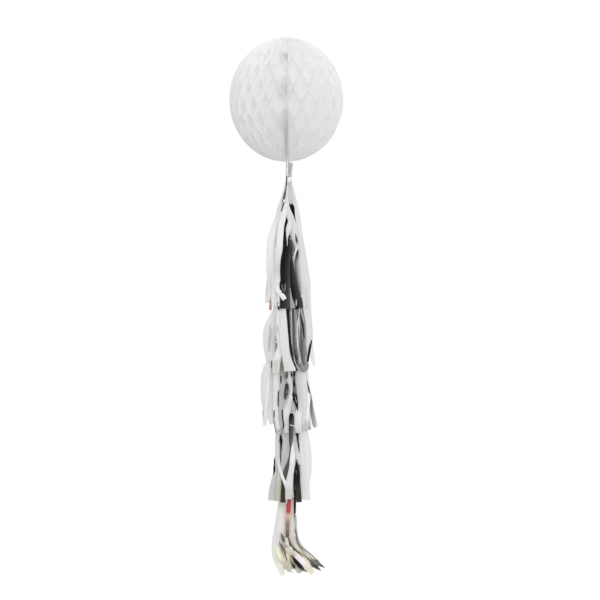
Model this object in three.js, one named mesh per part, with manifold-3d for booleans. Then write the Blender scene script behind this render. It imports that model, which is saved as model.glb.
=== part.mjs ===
// Honeycomb tassel decoration: a tissue honeycomb ball over five fringed tassels, all on one cord.
// Millimetres, +Z up. The origin is the top pole of the ball, where the decoration is hung.
// The seam of the ball faces the front, -Y, and angles are measured from there towards +X.

import * as THREE from "three";
import { mergeVertices } from "three/addons/utils/BufferGeometryUtils.js";
import Module from "manifold-3d";

const wasm = await Module();
wasm.setup();

// Honeycomb ball
const ballWidth = 250;
const ballHeight = 270;
const sheetCount = 44; // leaves of tissue glued side by side, an even number
const sheetThickness = 0.8;
const glueLinePitch = 36; // height from one row of glue lines to the next
const glueLineHeight = 8;
const glueLineRise = 20.7; // height above the equator of one row of glue lines
const cellFloorWidth = 1; // width of a cell where it ends at the spine
const seamGap = 1; // width of the slit between the first and the last leaf
const seamParting = 36; // the slit runs from this far below the equator to the bottom
const seamDepth = 90;
const fanUnevenness = 0.22; // the leaves stand wider on the right of the seam than on the left

// Hanging cord
const cordRadius = 1.2;
const knotRadius = 3;
const knotHeight = 6;
const clearance = 0.3;

// Tassels
const neckHeight = 41;
const neckCoreRadius = 5.2; // the rolled tissue inside the neck
const neckFoilThickness = 1;
const neckFlutes = 7;
const fluteDepth = 0.5;
const neckTwist = 1.2; // turn of the foil from the top of a neck to its foot, in radians
const stripWidth = 12.5;
const stripThickness = 0.7;
const stripGap = 0.6; // least space between neighbouring strips
const rootDepth = 3; // how far the root of a strip reaches up into its neck
const rootInset = 1.4; // how far inside the rolled tissue the tissue strips start
const longStripExtra = 124; // added length of the strips that hang past the next tassel
const longStripSpread = 10;
const lengthVariation = 0.04; // the strips are cut by hand, so their lengths and spreads differ
const spreadVariation = 0.03;
const flickStart = 0.7; // share of a strip's length after which its tip sweeps aside
const flickLeft = 0.35; // share of the sweep that the strips on the left still make
const flickLift = 0.4; // height that a strip loses for each millimetre that its tip sweeps aside

// Each letter of a lay is one strip, from the back round by the left, the front and the right:
// T is tissue, L is long tissue and F is foil. The other values are millimetres: step is the drop from
// the ball, or from the neck above, to the top of this neck, and flick is how far the tips sweep right.
const tassels = [
  { step: 3, stripLength: 274, spread: 49, flick: 0, lay: "TFTTTTTFFFFTLLTTFT" },
  { step: 139, stripLength: 274, spread: 51, flick: 0, lay: "TFTTTTTTTFFFFFTTFT" },
  { step: 124, stripLength: 274, spread: 56, flick: 0, lay: "FTFTTTTTFFTTTFTFTT" },
  { step: 158.5, stripLength: 274, spread: 47, flick: 0, lay: "TFTTTFFTFTFTTTTFTF" },
  { step: 152.5, stripLength: 283, spread: 24, flick: 62, lay: "FFFFFFFFFF" },
];

// Facets and finishes
const cordSides = 10;
const neckSides = 12;
const neckSteps = 4;
const stripSteps = 6;
const tissue = new THREE.MeshStandardMaterial({ color: 0xf2f1ef, roughness: 0.85, metalness: 0 });
const foil = new THREE.MeshStandardMaterial({ color: 0xb9babd, roughness: 0.15, metalness: 1 });
const twine = new THREE.MeshStandardMaterial({ color: 0xe4e2de, roughness: 0.9, metalness: 0 });

// A three.js geometry as a solid for joining and cutting, without the faces that have no area.
function solidOf(geometry) {
  const bare = geometry.clone();
  bare.deleteAttribute("normal");
  bare.deleteAttribute("uv");
  const merged = mergeVertices(bare, 1e-4);
  const corners = merged.index.array;
  const triVerts = [];
  for (let i = 0; i < corners.length; i += 3) {
    const [a, b, c] = corners.slice(i, i + 3);
    if (a !== b && b !== c && c !== a) triVerts.push(a, b, c);
  }
  const vertProperties = merged.attributes.position.array;
  return new wasm.Manifold(
    new wasm.Mesh({ numProp: 3, vertProperties, triVerts: new Uint32Array(triVerts) }),
  );
}

function geometryOf(solid) {
  const mesh = solid.getMesh();
  const geometry = new THREE.BufferGeometry();
  geometry.setAttribute("position", new THREE.BufferAttribute(mesh.vertProperties, 3));
  geometry.setIndex(new THREE.BufferAttribute(mesh.triVerts, 1));
  return geometry;
}

function named(name, geometry, material) {
  const mesh = new THREE.Mesh(geometry, material);
  mesh.name = name;
  return mesh;
}

// A point at a radius, an angle from the front and a height.
function polar(radius, angle, height) {
  return new THREE.Vector3(radius * Math.sin(angle), -radius * Math.cos(angle), height);
}

// The triangles of one face, with its corners counterclockwise as seen from outside.
function fan(corners) {
  const triangles = [];
  for (let i = 1; i < corners.length - 1; i++) {
    triangles.push(corners[0], corners[i], corners[i + 1]);
  }
  return triangles;
}

// A closed skin over rings of corners, which are counterclockwise as seen from the last ring.
function loft(rings) {
  const triangles = [];
  rings.slice(1).forEach((next, k) => {
    const ring = rings[k];
    ring.forEach((corner, i) => {
      const j = (i + 1) % ring.length;
      triangles.push(...fan([corner, ring[j], next[j], next[i]]));
    });
  });
  triangles.push(...fan([...rings[0]].reverse()), ...fan(rings[rings.length - 1]));
  return new THREE.BufferGeometry().setFromPoints(triangles);
}

// A turned solid about the Z axis from [radius, height] pairs, listed upwards.
function turned(profile, sides) {
  const points = profile.map(([radius, height]) => new THREE.Vector2(radius, height));
  return new THREE.LatheGeometry(points, sides).rotateX(Math.PI / 2);
}

const cordBore = cordRadius + clearance;
const columnStep = (2 * Math.PI) / sheetCount;
const equator = -ballHeight / 2;
const spineRadius = (sheetThickness + seamGap / 2 + cellFloorWidth / 2) / Math.tan(columnStep);
const poleReach = (ballHeight - glueLineHeight) / 2;
const lowestLevel = Math.floor((-poleReach - glueLineRise) / glueLinePitch);
const highestLevel = Math.ceil((poleReach - glueLineRise) / glueLinePitch);

// The height of the upper (1) or lower (-1) edge of a level's glue lines, kept inside the ball.
function glueEdge(level, side) {
  const height = equator + glueLineRise + level * glueLinePitch + (side * glueLineHeight) / 2;
  return Math.min(0, Math.max(-ballHeight, height));
}

// The radius of the ball at a height, never less than its spine.
function ballRadius(height) {
  const share = (2 * (height - equator)) / ballHeight;
  return Math.max(spineRadius, (ballWidth / 2) * Math.sqrt(Math.max(0, 1 - share * share)));
}

// Half the thickness of the paper at a column of glue lines: two leaves, which part at the seam.
function halfBond(column) {
  return sheetThickness + (column % sheetCount === 0 ? seamGap / 2 : 0);
}

// A corner of the paper beside a column of glue lines, at a radius.
function corner({ column, aside, height }, radius) {
  const angle = ((column + sheetCount) % sheetCount) * columnStep;
  return polar(radius, angle, height).addScaledVector(polar(1, angle + Math.PI / 2, 0), aside);
}

const onBall = (place) => corner(place, ballRadius(place.height));
const onSpine = (place) => corner(place, spineRadius);

// The six corners of a cell, in order round its mouth.
function cellCorners(column, level) {
  const left = { column: column - 1, aside: halfBond(column - 1) };
  const right = { column: column + 1, aside: -halfBond(column + 1) };
  return {
    top: { column, aside: 0, height: glueEdge(level + 1, -1) },
    leftHigh: { ...left, height: glueEdge(level, 1) },
    leftLow: { ...left, height: glueEdge(level, -1) },
    bottom: { column, aside: 0, height: glueEdge(level - 1, 1) },
    rightLow: { ...right, height: glueEdge(level, -1) },
    rightHigh: { ...right, height: glueEdge(level, 1) },
  };
}

// The floor of a cell on the spine, and its walls out to the mouth. Both faces of a leaf fold
// along the same diagonal, from an even column on the spine to an odd column on the ball.
function cellWalls(column, level) {
  const places = Object.values(cellCorners(column, level));
  const triangles = fan(places.map(onSpine));
  places.forEach((a, i) => {
    const b = places[(i + 1) % places.length];
    const wall = [onSpine(a), onBall(a), onBall(b), onSpine(b)];
    if (a.column % 2 !== 0) wall.push(wall.shift());
    triangles.push(...fan(wall));
  });
  return triangles;
}

// The corners of a cell's mouth, and the foot and head of the glue line on its right.
function mouthOf(column, level) {
  const places = cellCorners(column, level);
  places.bondFoot = { column: column + 1, aside: 0, height: glueEdge(level, -1) };
  places.bondHead = { column: column + 1, aside: 0, height: glueEdge(level, 1) };
  return Object.fromEntries(Object.entries(places).map(([name, place]) => [name, onBall(place)]));
}

// The whole network of leaves: the cells, the edges of the paper between them and the two poles.
function leafNetwork() {
  const triangles = [];
  const bottomPole = [];
  const topPole = [];
  for (let level = lowestLevel; level <= highestLevel; level++) {
    for (let column = 0; column < sheetCount; column++) {
      if ((column + level) % 2 !== 0) continue;
      const cell = mouthOf(column, level);
      const beside = mouthOf(column + 2, level);
      const upLeft = mouthOf(column - 1, level + 1);
      const upRight = mouthOf(column + 1, level + 1);
      triangles.push(...cellWalls(column, level));
      const bond = [cell.bondFoot, beside.leftLow, beside.leftHigh, cell.bondHead];
      triangles.push(...fan([...bond, cell.rightHigh, cell.rightLow]));
      if (level === lowestLevel) {
        bottomPole.push(cell.bottom, cell.rightLow, cell.bondFoot, beside.leftLow);
      }
      if (level === highestLevel) {
        topPole.push(cell.top, cell.rightHigh, cell.bondHead, beside.leftHigh);
      } else {
        triangles.push(...fan([cell.rightHigh, upRight.bottom, upRight.leftLow, cell.top]));
        triangles.push(...fan([upLeft.bottom, cell.leftHigh, cell.top, upLeft.rightLow]));
      }
    }
  }
  const [start, ...rest] = bottomPole;
  triangles.push(...fan(topPole), ...fan([start, ...rest.reverse()]));
  return new THREE.BufferGeometry().setFromPoints(triangles);
}

// The first and the last leaf of the fan, which lie flat against each other at the seam.
function seamLeaves() {
  const heights = [];
  for (let level = highestLevel; level >= lowestLevel; level--) {
    heights.push(glueEdge(level, 1), glueEdge(level, -1));
  }
  const outline = (aside) => {
    const edge = heights.map((height) => ({ column: 0, aside, height }));
    const inSpine = [edge[edge.length - 1], edge[0]].map((end) => corner(end, spineRadius - sheetThickness));
    return [...inSpine, ...edge.map(onBall)];
  };
  return solidOf(loft([outline(-halfBond(0)), outline(halfBond(0))]));
}

// The slit below the equator where the first and the last leaf of the fan meet but are not glued.
function seamSlit() {
  const height = ballHeight / 2 - seamParting;
  const slit = new THREE.BoxGeometry(seamGap, seamDepth, height);
  return solidOf(slit.translate(0, (seamDepth - ballWidth) / 2, height / 2 - ballHeight));
}

// The way of the cord through the spine, with a seat for its top knot.
function cordChannel() {
  const seat = -knotHeight - clearance;
  const profile = [
    [0, -ballHeight - clearance],
    [cordBore, -ballHeight - clearance],
    [cordBore, seat],
    [knotRadius + clearance, seat],
    [knotRadius + clearance, clearance],
    [0, clearance],
  ];
  return solidOf(turned(profile, cordSides));
}

// Spreads the leaves: the fan of paper is opened further on one side of the seam.
function openFan(geometry) {
  const place = geometry.attributes.position;
  for (let i = 0; i < place.count; i++) {
    const radius = Math.hypot(place.getX(i), place.getY(i));
    const angle = Math.atan2(place.getX(i), -place.getY(i));
    const opened = polar(radius, angle + fanUnevenness * (1 - Math.cos(angle)), place.getZ(i));
    place.setXYZ(i, opened.x, opened.y, opened.z);
  }
  return geometry;
}

function honeycombBall() {
  const leaves = solidOf(leafNetwork()).add(seamLeaves());
  return openFan(geometryOf(leaves.subtract(seamSlit()).subtract(cordChannel())));
}

// The height of the top of a neck, counted down from the bottom of the ball, and of its foot.
function neckTop(tassel) {
  const above = tassels.slice(0, tassels.indexOf(tassel) + 1);
  return above.reduce((height, { step }) => height - step, -ballHeight);
}

const neckFoot = (tassel) => neckTop(tassel) - neckHeight;

// One straight cord through the ball and every neck, with a knot at its top and under each neck.
function hangingCord() {
  const knot = (top) => [
    [cordRadius, top - knotHeight],
    [knotRadius, top - 0.7 * knotHeight],
    [knotRadius, top - 0.3 * knotHeight],
    [cordRadius, top],
  ];
  const knotTops = tassels.map((tassel) => neckFoot(tassel) - clearance).reverse();
  const profile = [...knotTops, 0].flatMap(knot);
  return turned([[0, profile[0][1]], ...profile, [0, 0]], cordSides);
}

// A repeatable number from -1 to 1 that gives each strip its own length and spread.
function vary(tasselNumber, stripNumber, use) {
  const turn = Math.sin(tasselNumber * 12.9898 + stripNumber * 78.233 + use * 37.719) * 43758.5453;
  return 2 * (turn - Math.floor(turn)) - 1;
}

// A strip hangs from the neck in its own sector, swells to its spread and follows the tassel's flick.
function strip(tasselNumber, stripNumber) {
  const tassel = tassels[tasselNumber];
  const kind = tassel.lay[stripNumber];
  const sectors = tassel.lay.length;
  const angle = -Math.PI + (2 * Math.PI * (stripNumber + 0.5)) / sectors;
  const across = polar(1, angle + Math.PI / 2, 0);
  const toRight = (1 + Math.sin(angle)) / 2;
  const sweep = tassel.flick * (flickLeft + (1 - flickLeft) * toRight);
  const length = tassel.stripLength * (1 + lengthVariation * vary(tasselNumber, stripNumber, 1));
  const spread = tassel.spread * (1 + spreadVariation * vary(tasselNumber, stripNumber, 2));
  const drop = length - flickLift * sweep + (kind === "L" ? longStripExtra : 0);
  const widest = spread + (kind === "L" ? longStripSpread : 0);
  const inFoil = neckCoreRadius + clearance + neckFoilThickness / 2;
  const root = kind === "F" ? inFoil : neckCoreRadius - rootInset;
  const top = neckFoot(tassel) + rootDepth;

  const radiusAt = (share) => root + (widest - root) * Math.sin((Math.PI / 2) * share);
  const middleAt = (share) => {
    const swing = Math.max(0, share - flickStart) / (1 - flickStart);
    const middle = polar(radiusAt(share), angle, top - drop * share);
    middle.x += sweep * swing * swing;
    return middle;
  };
  const rings = [];
  for (let k = 0; k <= stripSteps; k++) {
    const share = k / stripSteps;
    const middle = middleAt(share);
    const room = 2 * radiusAt(share) * Math.tan(Math.PI / sectors) - stripGap;
    const along = middleAt(share + 0.01).sub(middleAt(share - 0.01));
    const side = across.clone().multiplyScalar(Math.min(stripWidth, room) / 2);
    const outward = along.cross(across).normalize().multiplyScalar(stripThickness / 2);
    rings.push([
      middle.clone().sub(side).sub(outward),
      middle.clone().add(side).sub(outward),
      middle.clone().add(side).add(outward),
      middle.clone().sub(side).add(outward),
    ]);
  }
  return solidOf(loft(rings));
}

// The rolled tissue of a neck, with the cord's channel through it.
function neckCore(tassel) {
  const foot = neckFoot(tassel);
  const profile = [
    [cordBore, foot],
    [neckCoreRadius, foot],
    [neckCoreRadius, neckTop(tassel)],
    [cordBore, neckTop(tassel)],
    [cordBore, foot],
  ];
  return solidOf(turned(profile, neckSides));
}

const hasTissue = (tassel) => tassel.lay.includes("T");

// The gathered foil of a neck: a fluted sleeve that turns as it goes up, round the tissue if there is any.
function neckSleeve(tassel) {
  const foot = neckFoot(tassel);
  const wall = neckCoreRadius + clearance + neckFoilThickness;
  const rings = [];
  for (let k = 0; k <= neckSteps; k++) {
    const share = k / neckSteps;
    const ring = [];
    for (let i = 0; i < 2 * neckFlutes; i++) {
      const radius = wall + (i % 2 ? 2 * fluteDepth : 0);
      const angle = (Math.PI * i) / neckFlutes - neckTwist * share;
      ring.push(polar(radius, angle, foot + neckHeight * share));
    }
    rings.push(ring);
  }
  const inner = hasTissue(tassel) ? neckCoreRadius + clearance : cordBore;
  const hole = [
    [0, foot - clearance],
    [inner, foot - clearance],
    [inner, neckTop(tassel) + clearance],
    [0, neckTop(tassel) + clearance],
  ];
  return solidOf(loft(rings)).subtract(solidOf(turned(hole, neckSides)));
}

// A neck and all of its tassel's strips of some kinds, as one gathered piece.
function fringe(tasselNumber, kinds, neck) {
  const strips = [];
  [...tassels[tasselNumber].lay].forEach((kind, stripNumber) => {
    if (kinds.includes(kind)) strips.push(strip(tasselNumber, stripNumber));
  });
  return geometryOf(wasm.Manifold.union([neck, ...strips]));
}

const decoration = new THREE.Group();
decoration.add(named("honeycomb_ball", honeycombBall(), tissue));
decoration.add(named("hanging_cord", hangingCord(), twine));
tassels.forEach((tassel, i) => {
  const name = `tassel_${i + 1}`;
  if (hasTissue(tassel)) {
    decoration.add(named(`${name}_tissue`, fringe(i, "TL", neckCore(tassel)), tissue));
  }
  decoration.add(named(`${name}_foil`, fringe(i, "F", neckSleeve(tassel)), foil));
});

export default decoration;
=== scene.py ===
# %% [markdown]
# # A honeycomb ball with tassels
#
# The object is a hanging party decoration: a ball of white honeycomb tissue above five fringed tassels
# of white tissue and silver foil, all threaded on one cord. Paper has hardly any thickness, so every
# paper piece here is a sheet: a flat grid whose points are moved until it lies as the real one does.
# Cloth simulation could bend the strips too, but it wouldn't lay each where the photograph has it.
#
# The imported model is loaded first. It is the fixed frame: each new piece takes its place from it.

# %% Load the frame
import math
import random

import bmesh
import bpy
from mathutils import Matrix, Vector, noise


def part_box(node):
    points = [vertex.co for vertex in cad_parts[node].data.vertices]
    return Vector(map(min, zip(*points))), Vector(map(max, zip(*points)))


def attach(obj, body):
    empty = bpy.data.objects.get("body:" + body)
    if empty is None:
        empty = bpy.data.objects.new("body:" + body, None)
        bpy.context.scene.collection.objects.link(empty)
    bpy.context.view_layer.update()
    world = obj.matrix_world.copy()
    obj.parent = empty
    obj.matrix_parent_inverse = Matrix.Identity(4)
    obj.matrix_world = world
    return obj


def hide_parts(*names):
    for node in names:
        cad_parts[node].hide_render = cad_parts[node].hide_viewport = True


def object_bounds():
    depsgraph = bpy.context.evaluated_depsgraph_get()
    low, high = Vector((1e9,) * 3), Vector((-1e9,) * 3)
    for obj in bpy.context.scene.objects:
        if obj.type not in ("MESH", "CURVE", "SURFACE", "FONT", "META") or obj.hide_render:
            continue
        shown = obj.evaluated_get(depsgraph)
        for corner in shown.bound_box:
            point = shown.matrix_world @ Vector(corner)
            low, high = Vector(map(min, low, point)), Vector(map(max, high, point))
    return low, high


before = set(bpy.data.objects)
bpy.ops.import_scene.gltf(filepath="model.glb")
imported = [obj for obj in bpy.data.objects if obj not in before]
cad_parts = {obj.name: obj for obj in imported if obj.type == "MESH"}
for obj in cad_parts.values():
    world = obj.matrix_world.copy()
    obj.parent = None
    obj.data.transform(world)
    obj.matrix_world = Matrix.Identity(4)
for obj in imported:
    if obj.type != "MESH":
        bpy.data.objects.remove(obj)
cad_low, cad_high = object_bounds()
print("frame:", ", ".join(sorted(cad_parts)))

# %% [markdown]
# ## The photograph's scale
#
# The photograph is 600 pixels wide and high. The decoration hangs from the row of the ball's top to the
# row of its lowest tip, and the frame says how long that is in metres, so one pixel has a real size.
# `across` and `height` turn a column and a row into a place on the plane of the cord.

# %% Pixels to metres
PHOTO_SIZE = 600
BALL_TOP_ROW, LOWEST_TIP_ROW = 37.5, 575.0
CORD_COLUMN = 286.3

PIXEL = (cad_high.z - cad_low.z) / (LOWEST_TIP_ROW - BALL_TOP_ROW)


def across(column):
    """The distance to the right of the cord of a column of the photograph."""
    return (column - CORD_COLUMN) * PIXEL


def height(row):
    """The height of a row of the photograph."""
    return cad_high.z - (row - BALL_TOP_ROW) * PIXEL


print(f"one pixel is {PIXEL * 1000:.2f} mm")

# %% [markdown]
# ## The camera
#
# The photograph shows no convergence from the ball to the tips, so it was taken with a long lens from
# far away. A camera 8 m off, at the height of the picture's middle, sees the object in the same way. An
# orthographic camera would come close too, but a real lens has a place to stand.

# %% Camera
CAMERA_DISTANCE = 8.0

camera = bpy.data.objects.new("camera", bpy.data.cameras.new("camera"))
bpy.context.scene.collection.objects.link(camera)
camera.data.lens = camera.data.sensor_width * CAMERA_DISTANCE / (PHOTO_SIZE * PIXEL)
camera.location = (across(PHOTO_SIZE / 2), -CAMERA_DISTANCE, height(PHOTO_SIZE / 2))
camera.rotation_euler = (math.radians(90), 0, 0)
bpy.context.scene.camera = camera
print(f"lens {camera.data.lens:.0f} mm")

# %% [markdown]
# ## Building blocks of the finishes
#
# Tissue and foil are made from the same few nodes: a noise on the object's own coordinates, a value that
# follows it, a bump and a tint. Each strip keeps its tint in a colour attribute of its points, so one
# material serves all the strips of a kind. Painted pictures could give the same detail, but nodes stay
# sharp at any distance and need no unwrapping.

# %% Node helpers
TINT_LAYER = "tint"  # the colour attribute that holds the tint of a strip


def new_material(name):
    """An empty material, with its nodes and links."""
    material = bpy.data.materials.new(name)
    material.use_nodes = True
    material.node_tree.nodes.clear()
    return material, material.node_tree.nodes, material.node_tree.links


def shown(nodes, links, shader):
    """Joins the last shader to the output of its material."""
    output = nodes.new("ShaderNodeOutputMaterial")
    links.new(shader, output.inputs["Surface"])


def noise_node(nodes, links, scale, detail, upright=1.0):
    """A noise in object space. With upright below 1 its spots are drawn out into upright streaks."""
    coordinates = nodes.new("ShaderNodeTexCoord")
    drawn_out = nodes.new("ShaderNodeMapping")
    drawn_out.inputs["Scale"].default_value = (1, 1, upright)
    texture = nodes.new("ShaderNodeTexNoise")
    texture.inputs["Scale"].default_value = scale
    texture.inputs["Detail"].default_value = detail
    links.new(coordinates.outputs["Object"], drawn_out.inputs["Vector"])
    links.new(drawn_out.outputs["Vector"], texture.inputs["Vector"])
    return texture.outputs["Fac"]


def between(nodes, links, factor, low, high):
    """A value that follows a 0 to 1 factor from low to high."""
    span = nodes.new("ShaderNodeMapRange")
    span.inputs["To Min"].default_value = low
    span.inputs["To Max"].default_value = high
    links.new(factor, span.inputs["Value"])
    return span.outputs["Result"]


def tint_node(nodes):
    """The tint of the strip, read from its points."""
    tint = nodes.new("ShaderNodeAttribute")
    tint.attribute_name = TINT_LAYER
    return tint


def tinted(nodes, links, factor, low, high):
    """The tint of the strip, varied in brightness from low to high by a 0 to 1 factor."""
    scaled = nodes.new("ShaderNodeVectorMath")
    scaled.operation = "SCALE"
    links.new(tint_node(nodes).outputs["Color"], scaled.inputs[0])
    links.new(between(nodes, links, factor, low, high), scaled.inputs["Scale"])
    return scaled.outputs["Vector"]


def bumped(nodes, links, factor, strength, distance):
    """A normal that is raised by up to distance, in metres, where the factor is 1."""
    bump = nodes.new("ShaderNodeBump")
    bump.inputs["Strength"].default_value = strength
    bump.inputs["Distance"].default_value = distance
    links.new(factor, bump.inputs["Height"])
    return bump.outputs["Normal"]


print("finishes read the attribute", TINT_LAYER)

# %% [markdown]
# ## Tissue
#
# Tissue is thin, matt and faintly fibrous. A fine noise stands for the fibres and a larger one for the
# wrinkles: the fibres vary the white a little, and the wrinkles darken it a little more as painted shade.
# Light passes through tissue, so a share of a Translucent shader is mixed in. Subsurface scattering could
# do that too, but it is meant for bodies with an inside, and a sheet has none. There are two papers: the
# leaves of the ball let more light through, and on the fringe the wrinkles are drawn out into fine streaks
# of painted shade along its strips.

# %% Tissue
# the fibres give a tone that differs at random, and the wrinkles add painted shade
FIBRE_SCALE = 900
FIBRE_SHARE = 0.3  # the rest of the change in brightness comes from the wrinkles
WRINKLE_BUMP = 0.25, 0.0015
WRINKLE_ROUGHNESS = 0.75, 0.95


def tissue_paper(name, glow_share, wrinkle_scale, upright, shade):
    """Matt tissue. glow_share of the light passes through. shade is how bright its dullest spots are, where
    the wrinkles paint the most shade.
    """
    material, nodes, links = new_material(name)
    fibres = noise_node(nodes, links, FIBRE_SCALE, 3)
    wrinkles_and_shade = noise_node(nodes, links, wrinkle_scale, 4, upright)
    both = nodes.new("ShaderNodeMath")
    both.operation = "MULTIPLY_ADD"
    both.inputs[1].default_value = FIBRE_SHARE
    links.new(fibres, both.inputs[0])
    links.new(between(nodes, links, wrinkles_and_shade, 0.0, 1 - FIBRE_SHARE), both.inputs[2])
    colour = tinted(nodes, links, both.outputs["Value"], shade, 1.0)
    normal = bumped(nodes, links, wrinkles_and_shade, *WRINKLE_BUMP)
    paper = nodes.new("ShaderNodeBsdfPrincipled")
    links.new(colour, paper.inputs["Base Color"])
    links.new(between(nodes, links, wrinkles_and_shade, *WRINKLE_ROUGHNESS), paper.inputs["Roughness"])
    paper.inputs["Specular IOR Level"].default_value = 0.2
    links.new(normal, paper.inputs["Normal"])
    glow = nodes.new("ShaderNodeBsdfTranslucent")
    links.new(colour, glow.inputs["Color"])
    links.new(normal, glow.inputs["Normal"])
    mix = nodes.new("ShaderNodeMixShader")
    mix.inputs["Fac"].default_value = glow_share
    links.new(paper.outputs["BSDF"], mix.inputs[1])
    links.new(glow.outputs["BSDF"], mix.inputs[2])
    shown(nodes, links, mix.outputs["Shader"])
    return material


LEAF = tissue_paper("leaf_tissue", glow_share=0.65, wrinkle_scale=90, upright=1.0, shade=0.97)
FRINGE = tissue_paper("fringe_tissue", glow_share=0.25, wrinkle_scale=320, upright=0.05, shade=0.96)
print("papers:", LEAF.name, FRINGE.name)

# %% [markdown]
# ## Foil
#
# The foil is a mirror with small upright dents: full metal, a low roughness that drifts a little, and a
# weak bump. Its broad blacks and greys are what it really mirrors. Some narrow strips show a black, a grey
# or a colour that a plain studio doesn't hold, and those carry it as a painted reflection in a matt tint:
# the alpha of the tint is 1 on the bright face of the foil and 0 where it is matt, and it drives Metallic
# and the roughness.

# %% Foil
DENT_SCALE, DENT_UPRIGHT = 140, 0.15
DENT_BUMP = 0.08, 0.001
CLOUD_SCALE = 25
CLOUD_BRIGHTNESS = 0.92, 1.0
MIRROR_ROUGHNESS = 0.06, 0.18
MATT_ROUGHNESS = 0.4  # added where the foil isn't a mirror


def silver_foil():
    """Mirror foil, matt where the alpha of its tint is 0."""
    material, nodes, links = new_material("silver_foil")
    dents = noise_node(nodes, links, DENT_SCALE, 2, DENT_UPRIGHT)
    clouds = noise_node(nodes, links, CLOUD_SCALE, 3)
    mirror = tint_node(nodes).outputs["Alpha"]
    rough = nodes.new("ShaderNodeMath")
    links.new(between(nodes, links, clouds, *MIRROR_ROUGHNESS), rough.inputs[0])
    links.new(between(nodes, links, mirror, MATT_ROUGHNESS, 0.0), rough.inputs[1])
    metal = nodes.new("ShaderNodeBsdfPrincipled")
    links.new(tinted(nodes, links, clouds, *CLOUD_BRIGHTNESS), metal.inputs["Base Color"])
    links.new(mirror, metal.inputs["Metallic"])
    links.new(rough.outputs["Value"], metal.inputs["Roughness"])
    links.new(bumped(nodes, links, dents, *DENT_BUMP), metal.inputs["Normal"])
    shown(nodes, links, metal.outputs["BSDF"])
    return material


FOIL = silver_foil()
print("foil:", FOIL.name)

# %% [markdown]
# ## Twine
#
# The cord is twisted cotton. Its plies run round it on a slant. They could be modelled as a twisted
# bundle, but hardly any of the cord shows, so a wave texture with diagonal bands drives the bump and
# darkens the colour in the grooves as painted shade.

# %% Twine
PLY_SCALE = 160
PLY_BUMP = 0.6, 0.0005
# the groove colour is painted shade between the plies
PLY_GROOVE_SHADE, PLY_CREST = (0.55, 0.54, 0.52, 1), (0.88, 0.87, 0.84, 1)


def two_tone(nodes, links, factor, dark, light):
    """A colour that follows a 0 to 1 factor from a dark tone to a light one."""
    shade = nodes.new("ShaderNodeValToRGB")
    shade.color_ramp.elements[0].color = dark
    shade.color_ramp.elements[1].color = light
    links.new(factor, shade.inputs["Fac"])
    return shade.outputs["Color"]


def cotton_twine():
    """Twisted cotton with grooves between its plies, darker there as painted shade."""
    material, nodes, links = new_material("white_twine")
    coordinates = nodes.new("ShaderNodeTexCoord")
    plies = nodes.new("ShaderNodeTexWave")
    plies.bands_direction = "DIAGONAL"
    plies.inputs["Scale"].default_value = PLY_SCALE
    plies.inputs["Distortion"].default_value = 1.0
    links.new(coordinates.outputs["Object"], plies.inputs["Vector"])
    thread = nodes.new("ShaderNodeBsdfPrincipled")
    colour = two_tone(nodes, links, plies.outputs["Fac"], PLY_GROOVE_SHADE, PLY_CREST)
    links.new(colour, thread.inputs["Base Color"])
    thread.inputs["Roughness"].default_value = 0.9
    links.new(bumped(nodes, links, plies.outputs["Fac"], *PLY_BUMP), thread.inputs["Normal"])
    shown(nodes, links, thread.outputs["BSDF"])
    return material


TWINE = cotton_twine()
print("twine:", TWINE.name)

# %% [markdown]
# ## From sheet to piece
#
# `finished` makes a Blender object of a bmesh and hangs it on the frame in place of the plain solid of the
# same name. Tissue stays a single sheet, so that light passes through it once. Foil gets its thickness
# from a Solidify modifier, because its cut edges catch the light; marking the open edges sharp keeps them
# crisp there.


# %% Pieces
def finished(bm, name, material, slot, thickness=None):
    """Turns a bmesh into the piece that stands for a node of the frame."""
    for face in bm.faces:
        face.smooth = True
    for edge in bm.edges:
        edge.smooth = not edge.is_boundary
    mesh = bpy.data.meshes.new(name)
    bm.to_mesh(mesh)
    bm.free()
    mesh.materials.append(material)
    piece = bpy.data.objects.new("paper_" + name, mesh)
    bpy.context.scene.collection.objects.link(piece)
    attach(piece, "root")
    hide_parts(name)
    if thickness:
        body = piece.modifiers.new("thickness", "SOLIDIFY")
        body.thickness = thickness
        body.offset = 0
    print(f"{piece.name}: {len(mesh.polygons)} faces")


# %% [markdown]
# ## The honeycomb ball: an opened fan
#
# The ball is a fan of tissue leaves. Each leaf is a half disc that stands on the spine, and the fan is
# opened all the way round until its first and last leaf meet at the seam, which faces the viewer. The fan
# is opened wider on the right of the seam than on the left. A ready-made sphere with a pattern would look
# flat at the edge, where the real ball shows its leaves one behind the other, so each leaf is made.

# %% Fan
LEAVES = 44
FAN_UNEVENNESS = 0.22
LEAST_RIM = 0.0008  # the radius of the ball at its poles

ball_low, ball_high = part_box("honeycomb_ball")
ball_middle = (ball_low.z + ball_high.z) / 2
ball_half = (ball_high.z - ball_low.z) / 2
ball_radius = (ball_high.x - ball_low.x) / 2
column_step = math.tau / LEAVES


def opened(angle):
    """The angle of a leaf after the fan is opened unevenly, from the front towards the right."""
    return angle + FAN_UNEVENNESS * (1 - math.cos(angle))


def rim(z):
    """The radius of the ball at a height."""
    share = (z - ball_middle) / ball_half
    return max(LEAST_RIM, ball_radius * math.sqrt(max(0.0, 1 - share * share)))


print(f"ball {2000 * ball_radius:.0f} mm wide, {2000 * ball_half:.0f} mm tall, {LEAVES} leaves")

# %% [markdown]
# ## Glue lines
#
# Each leaf is glued to the leaf on its left and to the leaf on its right at heights that take turns, so
# in the opened fan it swings from side to side and leaves staggered cells. A leaf lies flat on its
# neighbour along a glue line and runs straight from one line to the next, so `swing` cuts a triangle wave
# level at its peaks. A little noise moves each column of glue lines, as in handmade work.

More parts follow.
